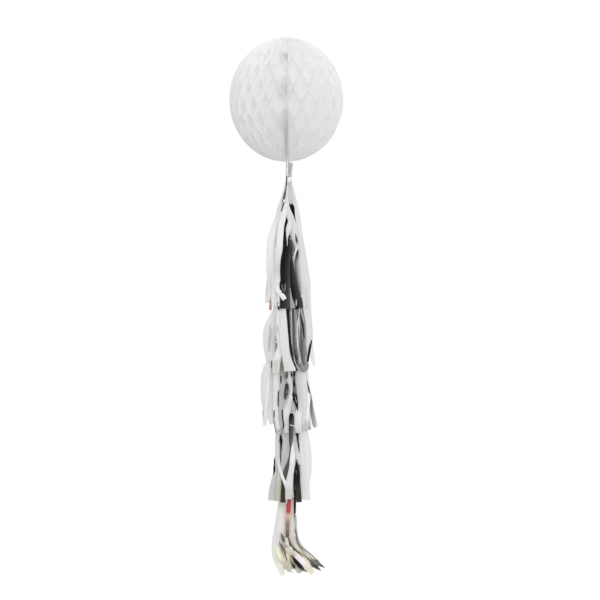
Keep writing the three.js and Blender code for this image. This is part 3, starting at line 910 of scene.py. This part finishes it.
# %% Third tassel
THIRD = {
    "tissue": [
        ("left outer", 3, -30, "soft", [
            (270, 362, 8), (266, 374, 9), (264.8, 386, 8), (265, 398, 8), (266.5, 408, 7),
            (266, 416, 5), (263.5, 422, 4),
        ]),
        ("left second", 4, -15, "soft", [
            (274, 362, 8), (271.5, 376, 9), (270.5, 390, 9), (270.5, 404, 9), (270.5, 414, 7),
            (272, 424, 4.5),
        ]),
        ("left third", 5, -8, "soft", [
            (278, 364, 5), (276.5, 378, 6), (276, 392, 5.5), (275.5, 406, 5), (276.5, 418, 4.5),
            (278.5, 429, 3),
        ]),
        ("centre left", 3, 0, "shade", [
            (284, 366, 4), (283.8, 382, 4), (282.5, 392, 4.5), (281.5, 402, 5), (281, 414, 4),
            (281, 428, 3.5),
        ]),
        ("centre white", 5, 5, ("shade", "dim", "dim", "soft", "dim", "soft", "dim", "dim"), [
            (287, 364, 5), (288.5, 378, 5), (291, 386, 3.6), (291.2, 395, 3.4), (289, 403, 5),
            (286.5, 412, 6), (286.5, 422, 5), (286.5, 432, 4),
        ]),
        ("right inner", 5, 10, ("dim", "dim", "dim", "dim", "soft", "soft", "dim"), [
            (298, 364, 4), (298.5, 380, 4.5), (299.5, 392, 5), (300, 404, 5), (298.5, 414, 7),
            (298, 424, 7), (298.5, 432, 6),
        ]),
        ("right second", 4, 22, "soft", [
            (302.5, 364, 5.5), (303.5, 380, 6.5), (304, 395, 7), (304.5, 408, 7), (305.5, 420, 7),
            (306.5, 429, 6),
        ]),
        # the tip of this tissue strip gets painted pinkish shade
        ("right outer", 3, 35, ("white", "white", "white", "white", "white", "pinkish"), [
            (305.5, 364, 4), (307.5, 382, 4), (309, 394, 3.5), (309, 406, 4), (308, 418, 5),
            (308.5, 429.5, 5.5),
        ]),
    ],
    "foil": [
        ("top left", 7, 0, "slate", [
            (286.3, 367.5, 0.3), (286.3, 372.4, 1), (286.3, 374, 3.6), (286.3, 376.6, 3.4),
            (286.3, 378.4, 1.6),
        ]),
        ("top slit", 8, 0, "jet", [(287.2, 368, 0.4), (287.2, 374, 0.9), (287.2, 377.6, 0.4)]),
        ("top middle", 7, 0, "jet", [
            (291.2, 367.5, 0.3), (291.5, 372.4, 0.6), (291.7, 374.2, 1.9), (292, 376.6, 0.5),
        ]),
        ("top right", 7, 0, "jet", [
            (294.6, 367.5, 0.3), (294.5, 372, 1.2), (294.4, 374.4, 1.5), (294.3, 377, 0.5),
        ]),
        ("wedge foot", 7, 0, "silver", [
            (281.4, 371, 0.8), (281.1, 376, 1.2), (281, 380, 1.4), (280.8, 383.4, 0.5),
        ]),
        ("upper leaf", 7, 0, ("jet", "jet", "jet", "jet", "jet", "dusk", "dusk"), [
            (286.8, 378, 0.3), (286.8, 382.4, 0.5), (286.9, 384, 3), (286.8, 388, 3.6),
            (286.2, 392, 3.8), (285.6, 396, 3.2), (285.2, 399, 1.2),
        ]),
        ("leaf light", 8, 0, "slate", [
            (287.2, 384, 0.3), (287, 389, 0.8), (286.7, 391.3, 1.9), (286.4, 393.6, 0.3),
        ]),
        ("crossing leaf", 7, (0, 0, 25, 24, 4, 0, 0, 0), "silver", [
            (294, 377, 1.2), (294, 382, 2), (294.6, 387, 3.2), (294.7, 392, 4.2), (294.6, 396, 5.6),
            (295.7, 400.5, 4.2), (297, 405.5, 2.4), (297.9, 410, 0.6),
        ]),
        ("leaf slit", 8, 0, "stone", [(294.9, 396, 0.4), (295.9, 399.5, 0.9), (296.6, 402.5, 0.4)]),
        ("dark tongue", 7, (0, 0, 12, 20, 21, 22, 25, 25), "silver", [
            (291.6, 409, 0.5), (291.5, 412.5, 2.8), (291.6, 416.5, 5.2), (291.6, 423, 5),
            (291.3, 429, 4.6), (291.2, 436, 4.4), (291, 442, 3.6), (290.6, 447, 1),
        ]),
        ("tongue glint", 9, 0, "snow", [(291.2, 423.8, 0.6), (293.4, 425.2, 1.6), (296, 424.8, 1.6)]),
        ("left line", 6, 10, "silver", [(278.8, 390, 1), (278.4, 398, 1.3), (278.3, 406, 1)]),
        ("low line", 6, 12, "silver", [
            (282.4, 408, 1), (283, 419, 1.3), (284, 424, 1.3), (283, 427.2, 1.3), (281.8, 429.4, 0.5),
        ]),
        # the brown end of this foil line is a painted reflection
        ("russet reflection line", 6, 12, ("silver", "silver", "rust"), [
            (274.5, 409, 1), (274.6, 421, 1.3), (276, 432, 1.2),
        ]),
        ("thin right", 5, 22, "silver", [
            (306.2, 372, 0.3), (306.9, 379, 0.5), (308, 385.5, 1.3), (308.9, 389.5, 1.7),
            (309.5, 393, 0.8),
        ]),
        ("far right", 2, (20, 26, 31, 35, 38, 40), "silver", [
            (308.5, 388, 1.2), (311, 400, 2.4), (311.5, 407, 3.6), (313, 416, 4.5), (314.5, 423, 4.6),
            (315.5, 427, 3.5),
        ]),
        ("pink stripe", 8, 10, "pinkish", [(305.4, 418, 0.3), (305.2, 423, 0.8), (305, 429, 1.1)]),
        ("pink fold", 8, 10, "pinkish", [(309.6, 420, 0.3), (309.8, 424, 0.8), (310.2, 429, 1)]),
    ],
}
print("third tassel:", sum(map(len, THIRD.values())), "strips laid by hand")

# %% [markdown]
# ## Strips of the fourth tassel
#
# On the fourth tassel one tissue strip crosses from the upper left to the middle. Broad foil with a painted
# black reflection hangs to the right of it, and foil with a painted pale, greenish reflection makes the
# skirt at the lower left.

# %% Fourth tassel
FOURTH = {
    "tissue": [
        ("left crossing", 6, -5,
            ("dim", "dim", "dim", "dim", "soft", "white", "white", "soft", "dim"), [
            (279.6, 420, 6.2), (278.8, 431, 6.4), (277.6, 443, 4.8), (277.6, 456, 4.4),
            (279.4, 466, 3.2), (282, 475, 2.8), (285, 481.5, 3), (288, 489, 4.5), (288.5, 497, 5.5),
        ]),
        ("centre", 7, 0, ("white", "white", "white", "soft", "soft", "soft", "dim", "dim"), [
            (292.6, 440, 1.5), (292.8, 450, 3.6), (292.4, 458, 5), (292, 466, 5.2), (290.4, 474, 5.5),
            (289.3, 483, 7), (288.8, 491, 7), (288.6, 498, 6.5),
        ]),
        ("centre right", 4, 5, ("dim", "dim", "dim", "soft", "soft"), [
            (294.5, 420, 4), (295, 434, 4), (295.5, 444, 4), (297.2, 454, 6), (298.6, 464, 4.4),
        ]),
        ("right inner", 5, 12, "soft", [
            (299.5, 420, 5), (301.5, 436, 5), (302.5, 448, 6), (303.5, 460, 6.5), (303.6, 474, 6.5),
            (303.5, 488, 6.5), (303.5, 499, 6),
        ]),
        ("right outer", 4, 28, "soft", [
            (302.5, 420, 5), (305.5, 436, 6), (307.5, 448, 7), (308.4, 460, 6.8), (308, 472, 6.4),
            (306.5, 482, 6), (306.5, 492, 6.5), (307, 499.5, 7),
        ]),
    ],
    "foil": [
        ("upper leaf", 7, (0, 0, 0, 10, 29, 33), "silver", [
            (280.4, 432.6, 0.4), (280.8, 437, 2.1), (281.1, 440.5, 3.1), (281.6, 446, 1.2),
            (281.6, 454, 0.6), (281.4, 464, 0.4),
        ]),
        ("pale middle", 3, 0, ("pale", "pale", "ash", "ash", "ash"), [
            (286, 425, 7), (286, 440, 8), (286, 455, 8), (285, 465, 8), (283.5, 476, 7),
        ]),
        ("dark slant", 5, 0, "dusk", [
            (290.4, 444, 0.7), (289.8, 454, 1.1), (288.4, 461.5, 2.4), (286.9, 467, 4.2),
            (285.6, 472.5, 4.6), (285.4, 476.5, 2.6), (285.9, 480, 0.6),
        ]),
        ("narrow black", 9, 0, "silver", [
            (295.9, 424, 2), (296.3, 430, 1.6), (296.9, 433.5, 2.4), (297.6, 436.5, 2),
            (297.4, 439.5, 1.2), (298.2, 443, 1.2), (298.6, 446, 1.1), (299.4, 452, 0.5),
        ]),
        ("broad black", 6, 0, ("jet", "jet", "jet", "jet", "olive", "olive"), [
            (296.5, 459, 0.6), (296.9, 464.5, 3), (296.6, 472, 6.2), (297, 480, 6.2),
            (298.3, 490, 5.4), (299.1, 501.5, 5.4),
        ]),
        ("black glint", 7, 0, "dusk", [(295.8, 468.5, 0.6), (296.4, 471, 1.8), (296.8, 473.5, 0.6)]),
        ("thin black", 5, 0, "silver", [
            (293.8, 470, 0.8), (294.1, 485, 1.4), (294.8, 497, 1.6), (295, 512, 1.8),
        ]),
        ("left leaf", 6, 0, "silver", [
            (274.7, 457, 0.5), (275, 463, 2.3), (274.6, 468, 2.5), (273.7, 474.5, 0.6),
        ]),
        ("left skirt", 3, -15, "pale", [
            (277, 457, 1.5), (275.8, 472, 4.6), (274.3, 482, 6.9), (273.2, 490, 8.4),
            (272.4, 500, 8.6),
        ]),
        ("green skirt", 4, -6, ("pale", "pale", "sage", "sage"), [
            (279.6, 462, 1.5), (279.2, 474, 3.6), (278.6, 486, 5), (278.4, 500.5, 5.4),
        ]),
        ("olive", 5, 0, "olive", [
            (281.8, 479, 0.6), (282.8, 485, 2.8), (283.2, 490, 4.4), (283.2, 496, 5), (283, 501.5, 5),
        ]),
    ],
}
print("fourth tassel:", sum(map(len, FOURTH.values())), "strips laid by hand")

# %% [markdown]
# ## Strips of the fifth tassel
#
# The lowest tassel is foil alone and the narrowest. Its strips carry painted reflections in cream, lilac
# and green with one red stripe, and its tips sweep to the right, the dark ones furthest.

# %% Fifth tassel
FIFTH = {
    "foil": [
        ("left outer", 2, -20,
            ("green", "green", "green", "lilac", "lilac", "lilac", "lilac", "shell", "shell", "shell",
             "shell", "shell"), [
            (281.5, 488, 4), (281, 500, 4.5), (280, 508, 5), (279, 516, 6), (278, 525, 6.5),
            (277, 533, 7), (275.8, 540, 7.5), (275.4, 548, 7.5), (276, 555, 7.5), (278, 562, 7),
            (281, 568, 6), (283, 574.5, 4),
        ]),
        ("left second", 0, -8,
            ("green", "green", "bone", "bone", "shell", "butter", "butter", "straw", "straw"), [
            (284, 488, 5), (283, 504, 6), (282.5, 516, 7), (282, 530, 8), (281, 540, 10),
            (282, 550, 11), (283.6, 555.5, 10.5), (286, 561, 9.5), (292, 569.5, 6.5),
        ]),
        ("middle", 1, 0, ("blush", "blush", "putty", "putty", "shell", "straw", "cream", "sage"), [
            (287, 488, 6), (287, 505, 6.6), (287.6, 520, 6), (287, 535, 6.6), (287, 546, 9),
            (290, 554, 10), (294.5, 562, 10), (301, 572, 6),
        ]),
        ("pink", 3, 5, ("blush", "blush", "pink", "pink", "pink", "pink", "cream", "cream", "cream"), [
            (292, 488, 4.5), (291.8, 509, 4.6), (291.7, 517, 4.7), (291.6, 524, 4.8), (292, 534, 5.4),
            (293.8, 542, 6), (299, 550, 6), (306, 557, 6.5), (314, 566, 6),
        ]),
        ("right", 2, 15, ("pale", "pale", "pale", "shell", "cream", "pale"), [
            (295.5, 516, 2), (296.7, 535, 2.4), (300.5, 545.5, 3.8), (306, 551.5, 5), (312, 557.5, 5),
            (318, 563.5, 4),
        ]),
        ("red", 4, 0, ("red", "red", "red", "red", "beige", "brown", "brown", "umber", "umber"), [
            (289, 488, 4.6), (288.7, 500, 4.6), (288.5, 507, 4.6), (288.3, 511.5, 4.4),
            (287.9, 515.5, 3.8), (287.7, 522, 3.6), (287.6, 527, 3.6), (287.4, 534, 3.4),
            (287.3, 539.5, 3),
        ]),
        ("glint", 5, 0, "pink", [(286.6, 537, 1.6), (287, 541, 2.8), (288.6, 545.5, 1.8)]),
        ("white low", 5, 0, ("petal", "petal", "petal", "petal", "cream", "cream"), [
            (290, 547.5, 1.5), (293.5, 552, 4.5), (298, 556.5, 6), (303, 562, 6.5), (308, 567.2, 6.2),
            (313, 572.6, 5),
        ]),
        ("red corner", 6, 0, "blush", [(286.4, 490, 3), (286.6, 498, 2.4), (286.6, 503.5, 0.4)]),
        ("black low", 6, 0, ("jet", "jet", "jet", "jet", "dusk", "slate"), [
            (291.8, 554.5, 0.6), (293.6, 557.5, 2.2), (296.6, 561.8, 3.9), (300.5, 566, 4),
            (303.8, 569.2, 2.2), (307.2, 571.4, 0.8),
        ]),
        ("dark band", 5, 0, "umber", [
            (289.3, 538, 0.8), (290.6, 544, 2.8), (293.6, 548, 2.6), (298.2, 552, 1.6),
            (303, 556.5, 0.6),
        ]),
        ("black edge", 6, 0,
            ("jet", "jet", "jet", "dusk", "slate", "slate", "umber", "umber", "umber", "umber",
             "umber"), [
            (295, 486, 2.4), (295, 500, 2.3), (295, 509, 1.9), (294.8, 516, 0.8), (295, 524, 0.7),
            (295.8, 532, 0.75), (297.2, 540, 1), (299.8, 545.3, 1), (304, 548.8, 0.8),
            (310, 553.2, 0.8), (319, 561, 0.7),
        ]),
        ("right lower line", 4, 0, "umber", [(299, 550, 0.4), (304.5, 555.5, 0.6), (311, 562, 0.5)]),
        ("split end upper", 5, 6, ("umber", "umber", "umber", "slate", "slate", "dusk"), [
            (296, 530, 0.4), (298.5, 543, 0.4), (304, 550.8, 0.3), (311, 558.2, 0.8), (316, 562, 4.8),
            (324.5, 567, 0.6),
        ]),
        ("split end lower", 4, 6, ("umber", "umber", "umber", "slate", "dusk", "dusk"), [
            (296, 530, 0.4), (298.5, 543, 0.4), (303, 551.5, 0.3), (308.6, 558.6, 0.6),
            (314, 564.6, 4.6), (320.8, 570, 0.6),
        ]),
        ("left slit", 6, 0, "umber", [(281.4, 532.5, 0.6), (282.6, 536.5, 2.6), (284.2, 541.5, 1.6)]),
        ("left line", 6, 0, "umber", [
            (279.6, 542, 0.8), (281.8, 545.5, 2.2), (284.6, 550, 1.8), (285.8, 555, 1.3),
            (287.2, 560.5, 0.6),
        ]),
        ("left stroke", 6, 0, "brown", [(280.6, 546.5, 0.6), (282.4, 551, 1.2), (284.2, 556, 0.8)]),
        ("low bits", 6, 0, ("umber", "umber", "jet", "umber"), [
            (290.6, 559.6, 0.4), (291.8, 562.4, 1.8), (293.8, 566, 3), (295.2, 567.8, 0.8),
        ]),
        ("low edge", 6, 0, "ash", [
            (283.6, 565, 0.6), (287.5, 569.3, 1.6), (291, 571, 1.6), (294, 571.8, 0.6),
        ]),
        ("slit end", 6, 0, "brown", [(283.4, 542.5, 0.6), (285, 545, 1.2), (287.2, 546.4, 0.5)]),
    ],
}
print("fifth tassel:", sum(map(len, FIFTH.values())), "strips laid by hand")

# %% [markdown]
# ## Laying a listed strip
#
# `hand_strip` turns one row of these tables into a strip. A strip that is turned aside looks narrower, so
# it is widened to keep its width in the photograph. One that shows only low down still hangs from the
# neck: it starts there, runs down inside the skirt and comes forward just above its first point.

# %% Listed strips
HAND_CROWN = {"tissue": 0.3, "foil": 0.06}
HAND_RIPPLE = {"tissue": 0.0010, "foil": 0.0002}
LEAST_SEEN = 0.5  # a strip that is turned aside gets no wider than its width over this
HIDDEN_BELOW = 0.05  # a strip that starts this far below the neck is hidden above its first point
HIDDEN_INSIDE = 0.7  # it runs down this share of the way out to its first point
HIDDEN_RISE = 0.012  # and comes forward over this height


def hand_strip(bm, tassel, kind, layer, face, tint, points):
    """A strip from the tables. face and tint are one value, or one for each point."""
    line = [tassel.spot(column, row, layer) for column, row, width in points]
    faces = list(face) if isinstance(face, tuple) else [face] * len(points)
    seen = [max(math.cos(math.radians(turn)), LEAST_SEEN) for turn in faces]
    widths = [width * PIXEL / share for (column, row, width), share in zip(points, seen)]
    names = tint if isinstance(tint, tuple) else (tint,) * len(points)
    tints = [TINTS[name] for name in names]
    if line[0].z < tassel.top - HIDDEN_BELOW:
        inside = Vector((HIDDEN_INSIDE * line[0].x, 0, line[0].z + HIDDEN_RISE))
        line[:0] = [Vector((0, -ROOT_RADIUS, tassel.top)), inside]
        widths[:0] = [min(widths[0], 2 * ROOT_RADIUS)] * 2
        faces[:0] = [faces[0]] * 2
        tints[:0] = [tints[0]] * 2
    seed = points[0][0] + points[-1][1]
    lay_strip(bm, line, widths, faces, tints, HAND_CROWN[kind], HAND_RIPPLE[kind], seed)


print(f"a hidden strip comes forward over {1000 * HIDDEN_RISE:.0f} mm")

# %% [markdown]
# ## Sides and back
#
# The photograph shows only the front. Round the sides and the back the strips go on in the same mix:
# an outer ring that leaves the front free for the listed strips, and an inner ring all the way
# round that fills the skirt. A particle system could scatter strips as well, but here a seeded generator
# gives each strip its own length, sway and twist, the same in every run.

# %% Ring strips
STRIP_WIDTH = 0.0122
ROOT_STRIPS, ROOT_FILL = 8, 0.9  # near the neck a strip is as narrow as one of so many side by side
RING_POINTS = 8
CUT_LENGTH = 0.87, 0.97  # shares of the skirt's length
SWAY, SWAY_WAVES = 0.16, 1.1
TWIST = 35
BILLOW, BILLOW_WAVES = 0.05, 5
TAIL_SWEEP, TAIL_START = 0.062, 0.7
TAIL_SHARE, TAIL_RIGHT = 0.5, 0.3  # strips on the right take more of the sweep
RING_CROWN = {"tissue": 0.35, "foil": 0.15}
RING_RIPPLE = 0.0012


def ring_strip(bm, tassel, kind, angle, size, tint, chance):
    """A strip at an angle of the skirt. size is its share of the skirt's reach."""
    length = tassel.length * chance.uniform(*CUT_LENGTH)
    sway, twist = chance.uniform(-SWAY, SWAY), chance.uniform(-TWIST, TWIST)
    line, widths, faces = [], [], []
    for k in range(RING_POINTS):
        share = k / (RING_POINTS - 1)
        z = tassel.top - length * share
        turn = angle + sway * math.sin(SWAY_WAVES * math.tau * share + 3 * sway)
        full = size * (1 - (1 - tassel.left) * max(0.0, -math.sin(turn)))
        billow = BILLOW * math.sin(BILLOW_WAVES * share + 9 * sway)
        radius = tassel.reach(z) * (full + billow) if k else ROOT_RADIUS
        spot = Vector((radius * math.sin(turn), -radius * math.cos(turn), z))
        spot.x += tassel.aside * (1 - share) ** 3
        if tassel.number == LOWEST:
            swung = max(0.0, share - TAIL_START) / (1 - TAIL_START)
            spot.x += TAIL_SWEEP * (TAIL_SHARE + TAIL_RIGHT * math.sin(angle)) * swung**2
        line.append(spot)
        widths.append(min(STRIP_WIDTH, ROOT_FILL * math.tau * max(radius, ROOT_RADIUS) / ROOT_STRIPS))
        faces.append(math.degrees(turn) + twist * share)
    tints = [TINTS[tint]] * RING_POINTS
    lay_strip(bm, line, widths, faces, tints, RING_CROWN[kind], RING_RIPPLE, chance.uniform(0, 99))


print(f"ring strips are up to {1000 * STRIP_WIDTH:.1f} mm wide")

# %% [markdown]
# ## Filling a skirt
#
# The rings are filled strip by strip. Tissue takes the front and the sides, and behind the cord every
# second strip is foil. Of the foil strips two in three are mirrors, and the third is matt with a painted
# reflection, grey, and cream on the lowest tassel, so that the back glints in the same uneven way as the
# front.

# %% Rings
FRONT_FREE = math.radians(62)  # the outer ring leaves this much free on each side of the front
LOWEST_FREE = math.radians(100)  # as both rings of the lowest tassel do
RINGS = ((20, 0.92, FRONT_FREE), (14, 0.48, 0.0))  # strips, share of the reach, free front
BEHIND = -0.1  # cosine of the angle from which foil joins in


def fill_skirt(sheets, tassel, chance):
    """Adds the rings of strips to the sheets of a tassel, which are one bmesh for each kind."""
    for count, size, free in RINGS:
        if tassel.number == LOWEST:
            count, free = count // 2, LOWEST_FREE
        for k in range(count):
            angle = free + (k + 0.5) / count * (math.tau - 2 * free)
            behind = math.cos(angle) < BEHIND
            kind = "foil" if tassel.number == LOWEST or (behind and k % 2) else "tissue"
            # the matt foil strips carry a painted reflection in grey, cream on the lowest tassel
            matt_reflection = "cream" if tassel.number == LOWEST else ("ash", "pale")[k % 2]
            tint = "white" if kind == "tissue" else ("silver", "silver", matt_reflection)[(k // 2) % 3]
            ring_strip(sheets[kind], tassel, kind, angle, size, tint, chance)


print("strips in the rings:", sum(count for count, size, free in RINGS))

# %% [markdown]
# ## Necks
#
# Above its skirt each tassel is gathered into a neck of twisted foil. It is an open tube, and two waves of
# different pitch give it uneven flutes. The first neck shows under the ball, thin and a little aside of
# the cord, and the others are hidden in the skirt above them.

# %% Necks
NECKS = {1: (0.0036, 0.0055)}  # radius, and how far to the right of the cord
USUAL_NECK = (0.0066, 0.0)
NECK_ROUND = 42
FLUTES = ((7, 0.09, 0), (13, 0.05, 1))  # count, depth and turn of each wave


def neck_sleeve(bm, tassel):
    """The gathered neck of a tassel: a fluted tube round the cord."""
    radius, aside = NECKS.get(tassel.number, USUAL_NECK)
    tint_layer = bm.verts.layers.float_color.get(TINT_LAYER)
    tube = bmesh.ops.create_cone(
        bm, cap_ends=False, segments=NECK_ROUND, radius1=radius, radius2=radius, depth=NECK_HEIGHT
    )
    for v in tube["verts"]:
        turn = math.atan2(v.co.x, -v.co.y)
        flute = 1 + sum(depth * math.sin(count * turn + start) for count, depth, start in FLUTES)
        v.co = Vector((v.co.x * flute + aside, v.co.y * flute, v.co.z + tassel.top + NECK_HEIGHT / 2))
        v[tint_layer] = TINTS["silver"]


print(f"necks {1000 * NECK_HEIGHT:.0f} mm tall")

# %% [markdown]
# ## The tassels put together
#
# Each tassel has one bmesh for its tissue and one for its foil, because they are separate fringes rolled
# into one neck. Each takes its listed strips first, then its share of the rings, and the foil its
# neck. They then replace the two solids of that tassel.

# %% Tassels
FOIL_THICKNESS = 0.0002
FRINGES = {
    "foil": (FOIL, "silver_foil", FOIL_THICKNESS),
    "tissue": (FRINGE, "white_tissue"),
}
SEED = 40

for tassel, laid in zip(tassels, (FIRST, SECOND, THIRD, FOURTH, FIFTH)):
    sheets = {}
    for kind, strips in laid.items():
        sheets[kind] = bmesh.new()
        sheets[kind].verts.layers.float_color.new(TINT_LAYER)
        for name, layer, face, tint, points in strips:
            hand_strip(sheets[kind], tassel, kind, layer, face, tint, points)
    fill_skirt(sheets, tassel, random.Random(SEED + tassel.number))
    neck_sleeve(sheets["foil"], tassel)
    for kind, finish in FRINGES.items():
        if kind in sheets:
            finished(sheets[kind], f"tassel_{tassel.number}_{kind}", *finish)

# %% [markdown]
# ## The cord
#
# The cord is hidden but for a few millimetres under the ball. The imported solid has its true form, so it
# stays and only gets its finish.

# %% Cord
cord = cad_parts["hanging_cord"]
cord.data.materials.clear()
cord.data.materials.append(TWINE)
print("the cord keeps its solid and gets", TWINE.name)

# %% [markdown]
# ## Studio: bearings
#
# The photograph is cut out on white. Soft light falls on the object from all sides, and the foil mirrors
# a room. A picture of a room could be wrapped round the scene, but a few nodes do it too: the world needs
# to know which way a ray goes, so its direction is turned into a bearing, from 0 to 1 round the horizon
# with 0.5 towards the camera.

# %% Bearings
world = bpy.data.worlds.new("studio")
bpy.context.scene.world = world
world.use_nodes = True
nodes, links = world.node_tree.nodes, world.node_tree.links
nodes.clear()

direction = nodes.new("ShaderNodeSeparateXYZ")
links.new(nodes.new("ShaderNodeTexCoord").outputs["Generated"], direction.inputs["Vector"])
backwards = nodes.new("ShaderNodeMath")
backwards.operation = "MULTIPLY"
backwards.inputs[1].default_value = -1
links.new(direction.outputs["Y"], backwards.inputs[0])
bearing = nodes.new("ShaderNodeMath")
bearing.operation = "ARCTAN2"
links.new(direction.outputs["X"], bearing.inputs[0])
links.new(backwards.outputs["Value"], bearing.inputs[1])
full_circle = nodes.new("ShaderNodeMapRange")
full_circle.inputs["From Min"].default_value = -math.pi
full_circle.inputs["From Max"].default_value = math.pi
links.new(bearing.outputs["Value"], full_circle.inputs["Value"])
print("world:", world.name)

# %% [markdown]
# ## Studio: the room and the light
#
# `ROOM` is what the foil mirrors, by degrees from the camera towards the right of the photograph: dark
# round the camera, bright at both sides, dark and bright panels in turn further round, and the white
# backdrop behind the object, so that the foil sparkles from every side. The light on the paper needs no
# room: it is white from above and fades towards the floor.

# %% Room and light
ROOM = [(-180, 1.0), (-168, 1.0), (-160, 0.12), (-146, 0.05), (-138, 0.7), (-130, 0.75), (-122, 0.1),
        (-112, 0.1), (-106, 0.85), (-72, 1.12), (-62, 1.12), (-56, 0.85), (-50, 0.6), (-42, 0.35),
        (-32, 0.08), (-22, 0.010), (0, 0.008), (22, 0.010), (34, 0.05), (50, 0.13), (66, 0.3), (82, 0.6),
        (96, 0.85), (106, 0.8), (112, 0.1), (122, 0.1), (130, 0.75), (138, 0.7), (146, 0.05), (160, 0.12),
        (168, 1.0), (180, 1.0)]
SKY = [(0.0, 0.24), (0.35, 0.58), (0.6, 0.97), (1.0, 1.0)]  # from straight down to straight up


def ramp(stops):
    """A colour ramp in greys from pairs of place and brightness."""
    node = nodes.new("ShaderNodeValToRGB")
    elements = node.color_ramp.elements
    while len(elements) < len(stops):
        elements.new(0.5)
    for element, (place, grey) in zip(elements, stops):
        element.position = place
        element.color = (grey, grey, grey, 1)
    return node


room = ramp([(degrees / 360 + 0.5, grey) for degrees, grey in ROOM])
links.new(full_circle.outputs["Result"], room.inputs["Fac"])
up = nodes.new("ShaderNodeMapRange")
up.inputs["From Min"].default_value = -1
links.new(direction.outputs["Z"], up.inputs["Value"])
sky = ramp(SKY)
links.new(up.outputs["Result"], sky.inputs["Fac"])
print(f"room of {len(ROOM)} stops, sky of {len(SKY)}")

# %% [markdown]
# ## Studio: who sees what
#
# The Light Path node tells rays apart. A mirrored ray gets the room, a ray from the camera gets plain
# white, and every other ray gets the soft light. So the background is white without more light on the
# object, and the mirror still has something dark to show.

# %% World
paths = nodes.new("ShaderNodeLightPath")
mirrored = nodes.new("ShaderNodeMix")
mirrored.data_type = "RGBA"
links.new(paths.outputs["Is Glossy Ray"], mirrored.inputs["Factor"])
links.new(sky.outputs["Color"], mirrored.inputs["A"])
links.new(room.outputs["Color"], mirrored.inputs["B"])
seen = nodes.new("ShaderNodeMix")
seen.data_type = "RGBA"
seen.inputs["B"].default_value = (1, 1, 1, 1)
links.new(paths.outputs["Is Camera Ray"], seen.inputs["Factor"])
links.new(mirrored.outputs["Result"], seen.inputs["A"])
background = nodes.new("ShaderNodeBackground")
links.new(seen.outputs["Result"], background.inputs["Color"])
links.new(background.outputs["Background"], nodes.new("ShaderNodeOutputWorld").inputs["Surface"])
bpy.context.scene.view_settings.view_transform = "Standard"
print("world nodes:", len(nodes))

# %% [markdown]
# ## Studio: the lamp
#
# In the photograph the tissue that faces the viewer is brightest, a little more so on the right. One broad
# area lamp in front, slightly above and to the right, gives that and soft shadows between the strips. The
# foil doesn't mirror it, because the photograph shows no such highlight.

# %% Lamp
KEY_PLACE, KEY_AIM = (0.6, -2.8, 0.5), (0, 0, -0.4)
KEY_SIZE, KEY_ENERGY = 1.6, 27

key = bpy.data.objects.new("key_lamp", bpy.data.lights.new("key_lamp", "AREA"))
bpy.context.scene.collection.objects.link(key)
key.data.size = KEY_SIZE
key.data.energy = KEY_ENERGY
key.location = KEY_PLACE
key.rotation_euler = (Vector(KEY_AIM) - key.location).to_track_quat("-Z", "Y").to_euler()
key.visible_glossy = False
print(f"lamp of {KEY_ENERGY} W")

# %% [markdown]
# ## Studio: the floor
#
# The decoration hangs well above a pale painted floor. The floor is a disc, and towards its edge it fades
# into the white of the background, for the camera alone, so that no horizon shows. For all other rays it
# stays painted, and it throws its light back as any floor does.

# %% Floor
FLOOR_DROP = 0.75  # the decoration hangs this far above the floor
FLOOR_CLEAR, FLOOR_RADIUS = 0.5, 1.8  # the paint shows near the middle and fades towards the edge
FLOOR_ROUND = 96
PAINT_SCALE = 30
PAINT_DARK, PAINT_LIGHT = (0.64, 0.64, 0.63, 1), (0.68, 0.68, 0.67, 1)


def painted_floor(clear, edge):
    """Pale paint that fades into the white of the background, for the camera alone, from clear to edge."""
    material, nodes, links = new_material("pale_floor")
    paint = nodes.new("ShaderNodeBsdfPrincipled")
    colour = two_tone(nodes, links, noise_node(nodes, links, PAINT_SCALE, 4), PAINT_DARK, PAINT_LIGHT)
    links.new(colour, paint.inputs["Base Color"])
    paint.inputs["Roughness"].default_value = 0.85
    flat = nodes.new("ShaderNodeVectorMath")
    flat.operation = "MULTIPLY"
    flat.inputs[1].default_value = (1, 1, 0)
    links.new(nodes.new("ShaderNodeTexCoord").outputs["Object"], flat.inputs[0])
    away = nodes.new("ShaderNodeVectorMath")
    away.operation = "LENGTH"
    links.new(flat.outputs["Vector"], away.inputs[0])
    fade = nodes.new("ShaderNodeMapRange")
    fade.interpolation_type = "SMOOTHSTEP"
    fade.inputs["From Min"].default_value = clear
    fade.inputs["From Max"].default_value = edge
    links.new(away.outputs["Value"], fade.inputs["Value"])
    to_camera = nodes.new("ShaderNodeMath")
    to_camera.operation = "MULTIPLY"
    links.new(fade.outputs["Result"], to_camera.inputs[0])
    links.new(nodes.new("ShaderNodeLightPath").outputs["Is Camera Ray"], to_camera.inputs[1])
    mix = nodes.new("ShaderNodeMixShader")
    links.new(to_camera.outputs["Value"], mix.inputs["Fac"])
    links.new(paint.outputs["BSDF"], mix.inputs[1])
    links.new(nodes.new("ShaderNodeEmission").outputs["Emission"], mix.inputs[2])
    shown(nodes, links, mix.outputs["Shader"])
    return material


floor_mesh = bpy.data.meshes.new("floor")
disc = bmesh.new()
bmesh.ops.create_circle(disc, cap_ends=True, segments=FLOOR_ROUND, radius=FLOOR_RADIUS)
bmesh.ops.translate(disc, verts=disc.verts, vec=(0, 0, cad_low.z - FLOOR_DROP))
disc.to_mesh(floor_mesh)
disc.free()
floor_mesh.materials.append(painted_floor(FLOOR_CLEAR, FLOOR_RADIUS))
floor = bpy.data.objects.new("floor", floor_mesh)
bpy.context.scene.collection.objects.link(floor)
print(f"floor at {cad_low.z - FLOOR_DROP:.2f} m")
